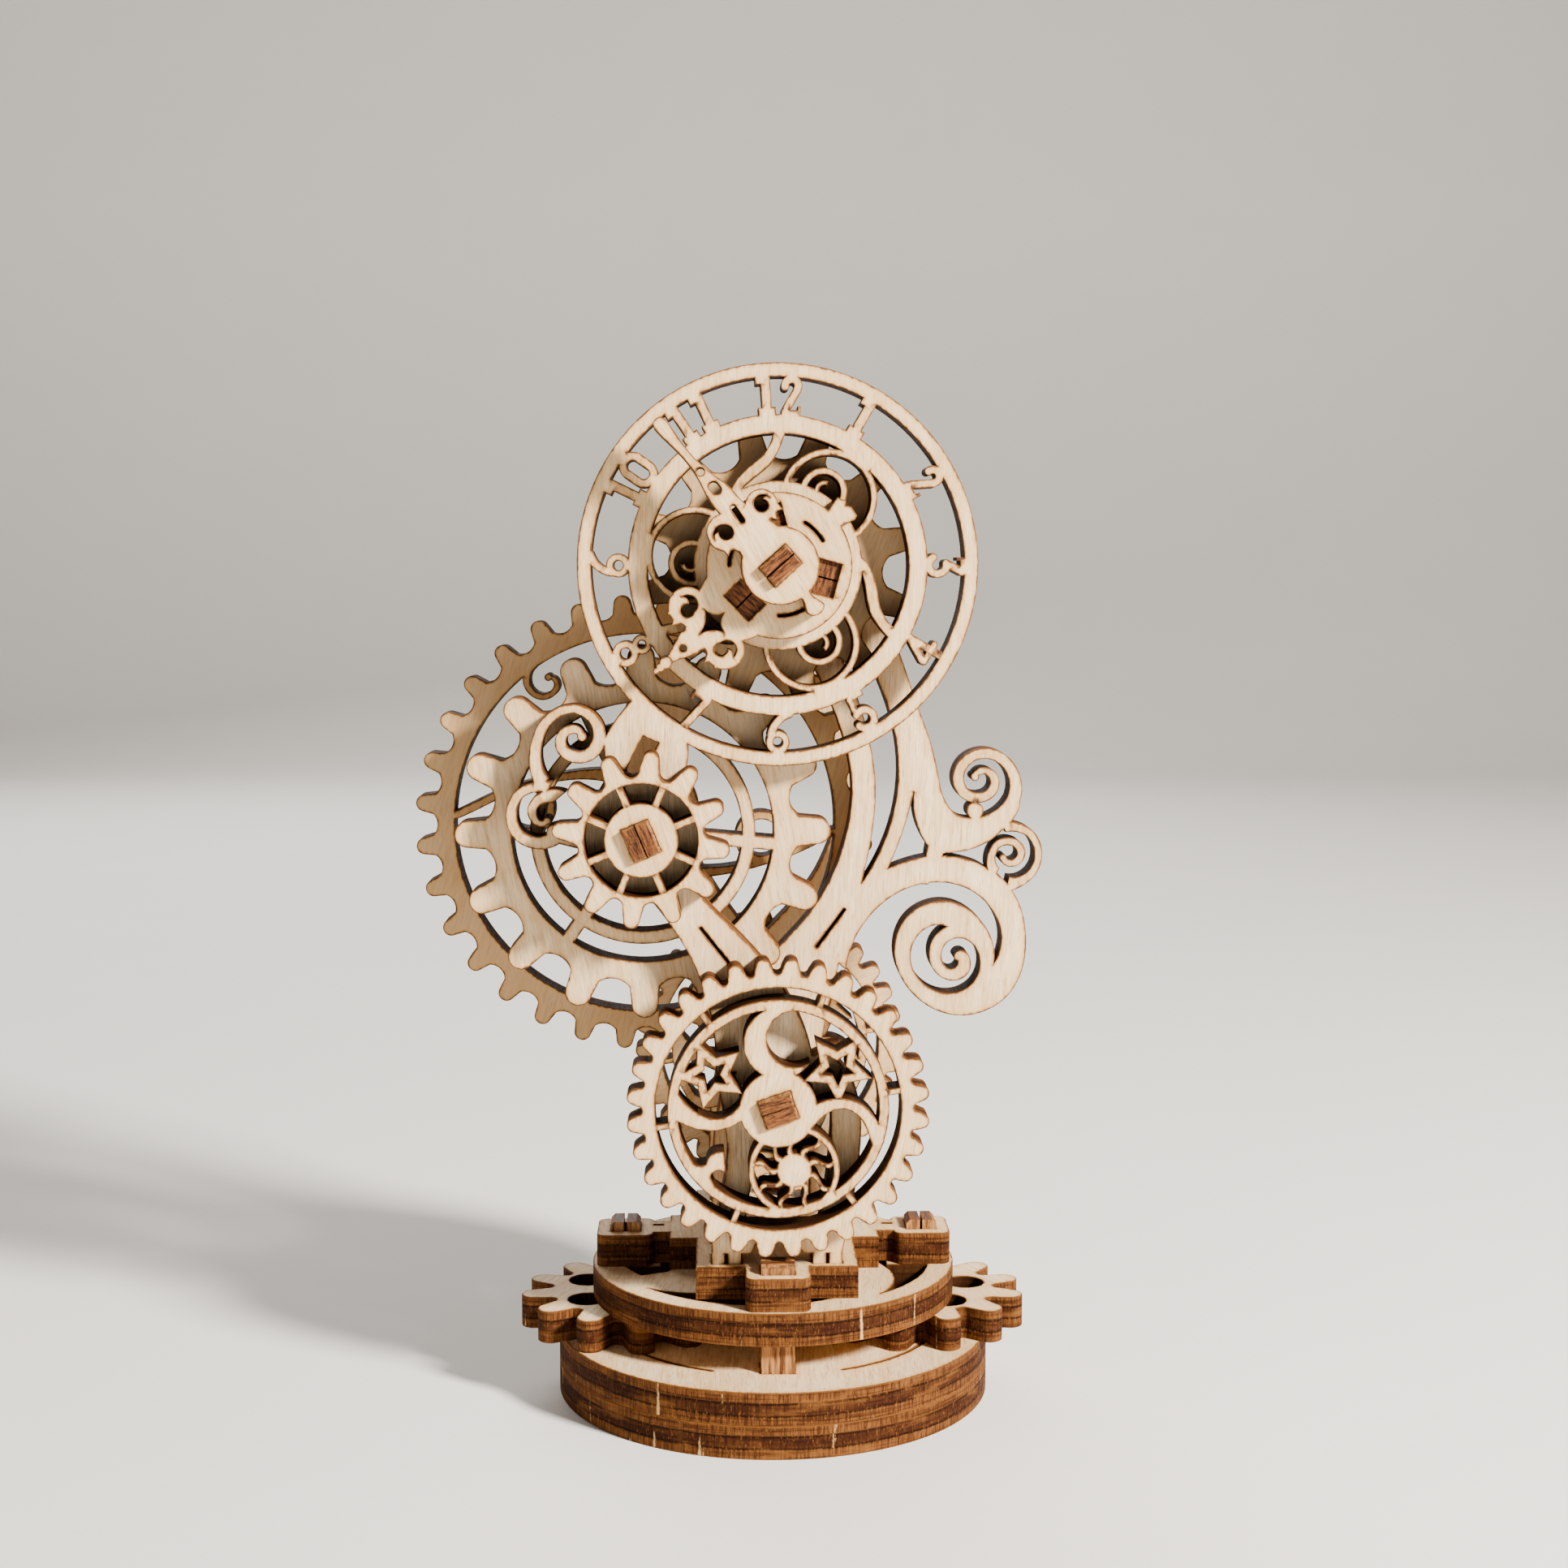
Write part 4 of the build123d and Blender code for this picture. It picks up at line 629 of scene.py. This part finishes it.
def strip_material(name, axis, turn_deg):
    """Split strip: brown end grain that runs with the slit, scorched and bare sides."""
    t = Tree(name)
    coords = t.nodes.new("ShaderNodeTexCoord")
    turn = (0, math.radians(turn_deg), 0) if axis == "Y" else (0, 0, -math.radians(turn_deg))
    place = t.scale(coords.outputs["Object"], (1 / MM, 1 / MM, 1 / MM), (0, 0, 0), turn)
    normal = coords.outputs["Normal"]
    along = 1 if axis == "Y" else 2

    def stretch(first, lengthwise, last):
        """Scales for X, the strip's length and the third axis, in the order of the axes."""
        return (first, lengthwise, last) if along == 1 else (first, last, lengthwise)

    end_grain = t.noise(t.scale(place, stretch(0.7, 0.6, 5.0)), 1.0, 5.0, 0.7)
    cross = t.noise(t.scale(place, stretch(5.0, 0.8, 4.0), (3.0, 2.0, 7.0)), 1.0, 3.0, 0.6)
    side = t.noise(t.scale(place, stretch(4.0, 0.35, 4.0)), 1.0, 4.0, 0.65)
    is_end = t.span(t.math("ABSOLUTE", t.split(normal, along)), 0.6, 0.8)
    end_colour = t.mix(t.span(end_grain, 0.36, 0.64), STRIP_END_DARK, STRIP_END)
    end_colour = t.mix(t.span(cross, 0.56, 0.72, 0.0, 0.8), end_colour, STRIP_CRACK)
    side_colour = t.mix(t.span(side, 0.34, 0.66), STRIP_SIDE_DARK, STRIP_SIDE)
    colour = t.mix(is_end, side_colour, end_colour)
    t.plug(colour, t.shader.inputs["Base Color"])
    t.plug(t.span(end_grain, 0.3, 0.8, 0.45, 0.75), t.shader.inputs["Roughness"])
    t.shader.inputs["Specular IOR Level"].default_value = 0.18
    t.bump(end_grain, 0.7)
    return t.material


FACE = face_material()
EDGE = edge_material("cut_edge", False)
DARK_EDGE = edge_material("cut_edge_base", True)

for number, (node, (body, grain_deg, tone_and_shade)) in enumerate(UPRIGHT.items(), 1):
    build_sheet(node, body, 1, grain_deg, tone_and_shade, number)
for number, (node, (body, grain_deg, tone_and_shade)) in enumerate(LEVEL.items(), 1 + len(UPRIGHT)):
    build_sheet(node, body, 2, grain_deg, tone_and_shade, number)
for node, (body, axis, turn_deg) in STRIPS.items():
    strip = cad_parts[node]
    strip.data.materials.clear()
    strip.data.materials.append(strip_material("strip_" + node, axis, turn_deg))
    worn = strip.modifiers.new("worn_edges", "BEVEL")
    worn.width = STRIP_BEVEL * MM
    worn.segments = 2
    worn.limit_method = "ANGLE"
    worn.angle_limit = math.radians(STRIP_BEVEL_DEG)


# ---------------------------------------------------------------- floor, light, camera
FLOOR_REACH = 2.5         # metres, to each side and to the front
BACKDROP_Y = 0.9          # where the floor has turned up into the backdrop
BACKDROP_BEND = 0.25      # radius of the turn
BACKDROP_TOP = 0.9
FLOOR_STEPS = 12

WORLD_COLOUR = rgb(1.0, 0.925, 0.84)
WORLD_STRENGTH = 0.165
MODEL_MIDDLE = (0, 0, 0.048)
# name: (place in metres, size in metres, watts, colour)
LIGHTS = {
    "key": ((0.36, -0.32, 0.31), 0.09, 13.2, (1.0, 0.95, 0.87)),
    "fill": ((-0.45, -0.40, 0.25), 0.6, 0.7, (1.0, 0.97, 0.93)),
    "back": ((-0.15, 0.50, 0.40), 0.5, 3.2, (1.0, 0.98, 0.95)),
}

CAMERA_PLACE = (-6.31, -212.67, 76.99)      # mm
CAMERA_PITCH = 5.30       # degrees, downwards
CAMERA_YAW = 1.957
CAMERA_ROLL = 0.1075
CAMERA_LENS = 52.43       # mm, on a 36 mm sensor
CAMERA_SENSOR = 36.0


def studio():
    t = Tree("floor_paper")
    coords = t.nodes.new("ShaderNodeTexCoord")
    soft = t.noise(coords.outputs["Object"], 30.0, 3.0)
    t.plug(t.mix(soft, FLOOR_WARM, FLOOR_PALE), t.shader.inputs["Base Color"])
    t.shader.inputs["Roughness"].default_value = 0.8
    profile = [(-FLOOR_REACH, 0.0)]
    for k in range(FLOOR_STEPS + 1):
        a = math.radians(90 * k / FLOOR_STEPS)
        forward = BACKDROP_Y - BACKDROP_BEND + BACKDROP_BEND * math.sin(a)
        profile.append((forward, BACKDROP_BEND - BACKDROP_BEND * math.cos(a)))
    profile.append((BACKDROP_Y, BACKDROP_TOP))
    verts = []
    faces = []
    for y, z in profile:
        verts.append((-FLOOR_REACH, y, z))
        verts.append((FLOOR_REACH, y, z))
    for k in range(len(profile) - 1):
        faces.append((2 * k, 2 * k + 1, 2 * k + 3, 2 * k + 2))
    mesh = bpy.data.meshes.new("floor")
    mesh.from_pydata(verts, [], faces)
    mesh.polygons.foreach_set("use_smooth", [True] * len(faces))
    mesh.materials.append(t.material)
    floor = bpy.data.objects.new("floor", mesh)
    bpy.context.scene.collection.objects.link(floor)


def area_light(name, place, size, watts, colour):
    data = bpy.data.lights.new(name, "AREA")
    data.shape = "DISK"
    data.size = size
    data.energy = watts
    data.color = colour
    lamp = bpy.data.objects.new(name, data)
    bpy.context.scene.collection.objects.link(lamp)
    lamp.location = place
    aim = Vector(MODEL_MIDDLE) - Vector(place)
    lamp.rotation_euler = aim.to_track_quat("-Z", "Y").to_euler()


def lighting():
    world = bpy.data.worlds.new("soft_room")
    bpy.context.scene.world = world
    world.use_nodes = True
    background = world.node_tree.nodes["Background"]
    background.inputs["Color"].default_value = WORLD_COLOUR
    background.inputs["Strength"].default_value = WORLD_STRENGTH
    for name, (place, size, watts, colour) in LIGHTS.items():
        area_light(name, place, size, watts, colour)


def camera():
    pitch = math.radians(CAMERA_PITCH)
    yaw = math.radians(CAMERA_YAW)
    roll = math.radians(CAMERA_ROLL)
    level_ahead = math.cos(pitch)
    forward = Vector((math.sin(yaw) * level_ahead, math.cos(yaw) * level_ahead, -math.sin(pitch)))
    level_right = Vector((math.cos(yaw), -math.sin(yaw), 0))
    level_up = level_right.cross(forward)
    right = level_right * math.cos(roll) + level_up * math.sin(roll)
    up = level_up * math.cos(roll) - level_right * math.sin(roll)
    data = bpy.data.cameras.new("camera")
    data.sensor_width = CAMERA_SENSOR
    data.lens = CAMERA_LENS
    data.clip_start = 0.01
    viewer = bpy.data.objects.new("camera", data)
    bpy.context.scene.collection.objects.link(viewer)
    turn = Matrix((right, up, -forward)).transposed().to_4x4()
    viewer.matrix_world = Matrix.Translation(Vector(CAMERA_PLACE) * MM) @ turn
    bpy.context.scene.camera = viewer


studio()
lighting()
camera()
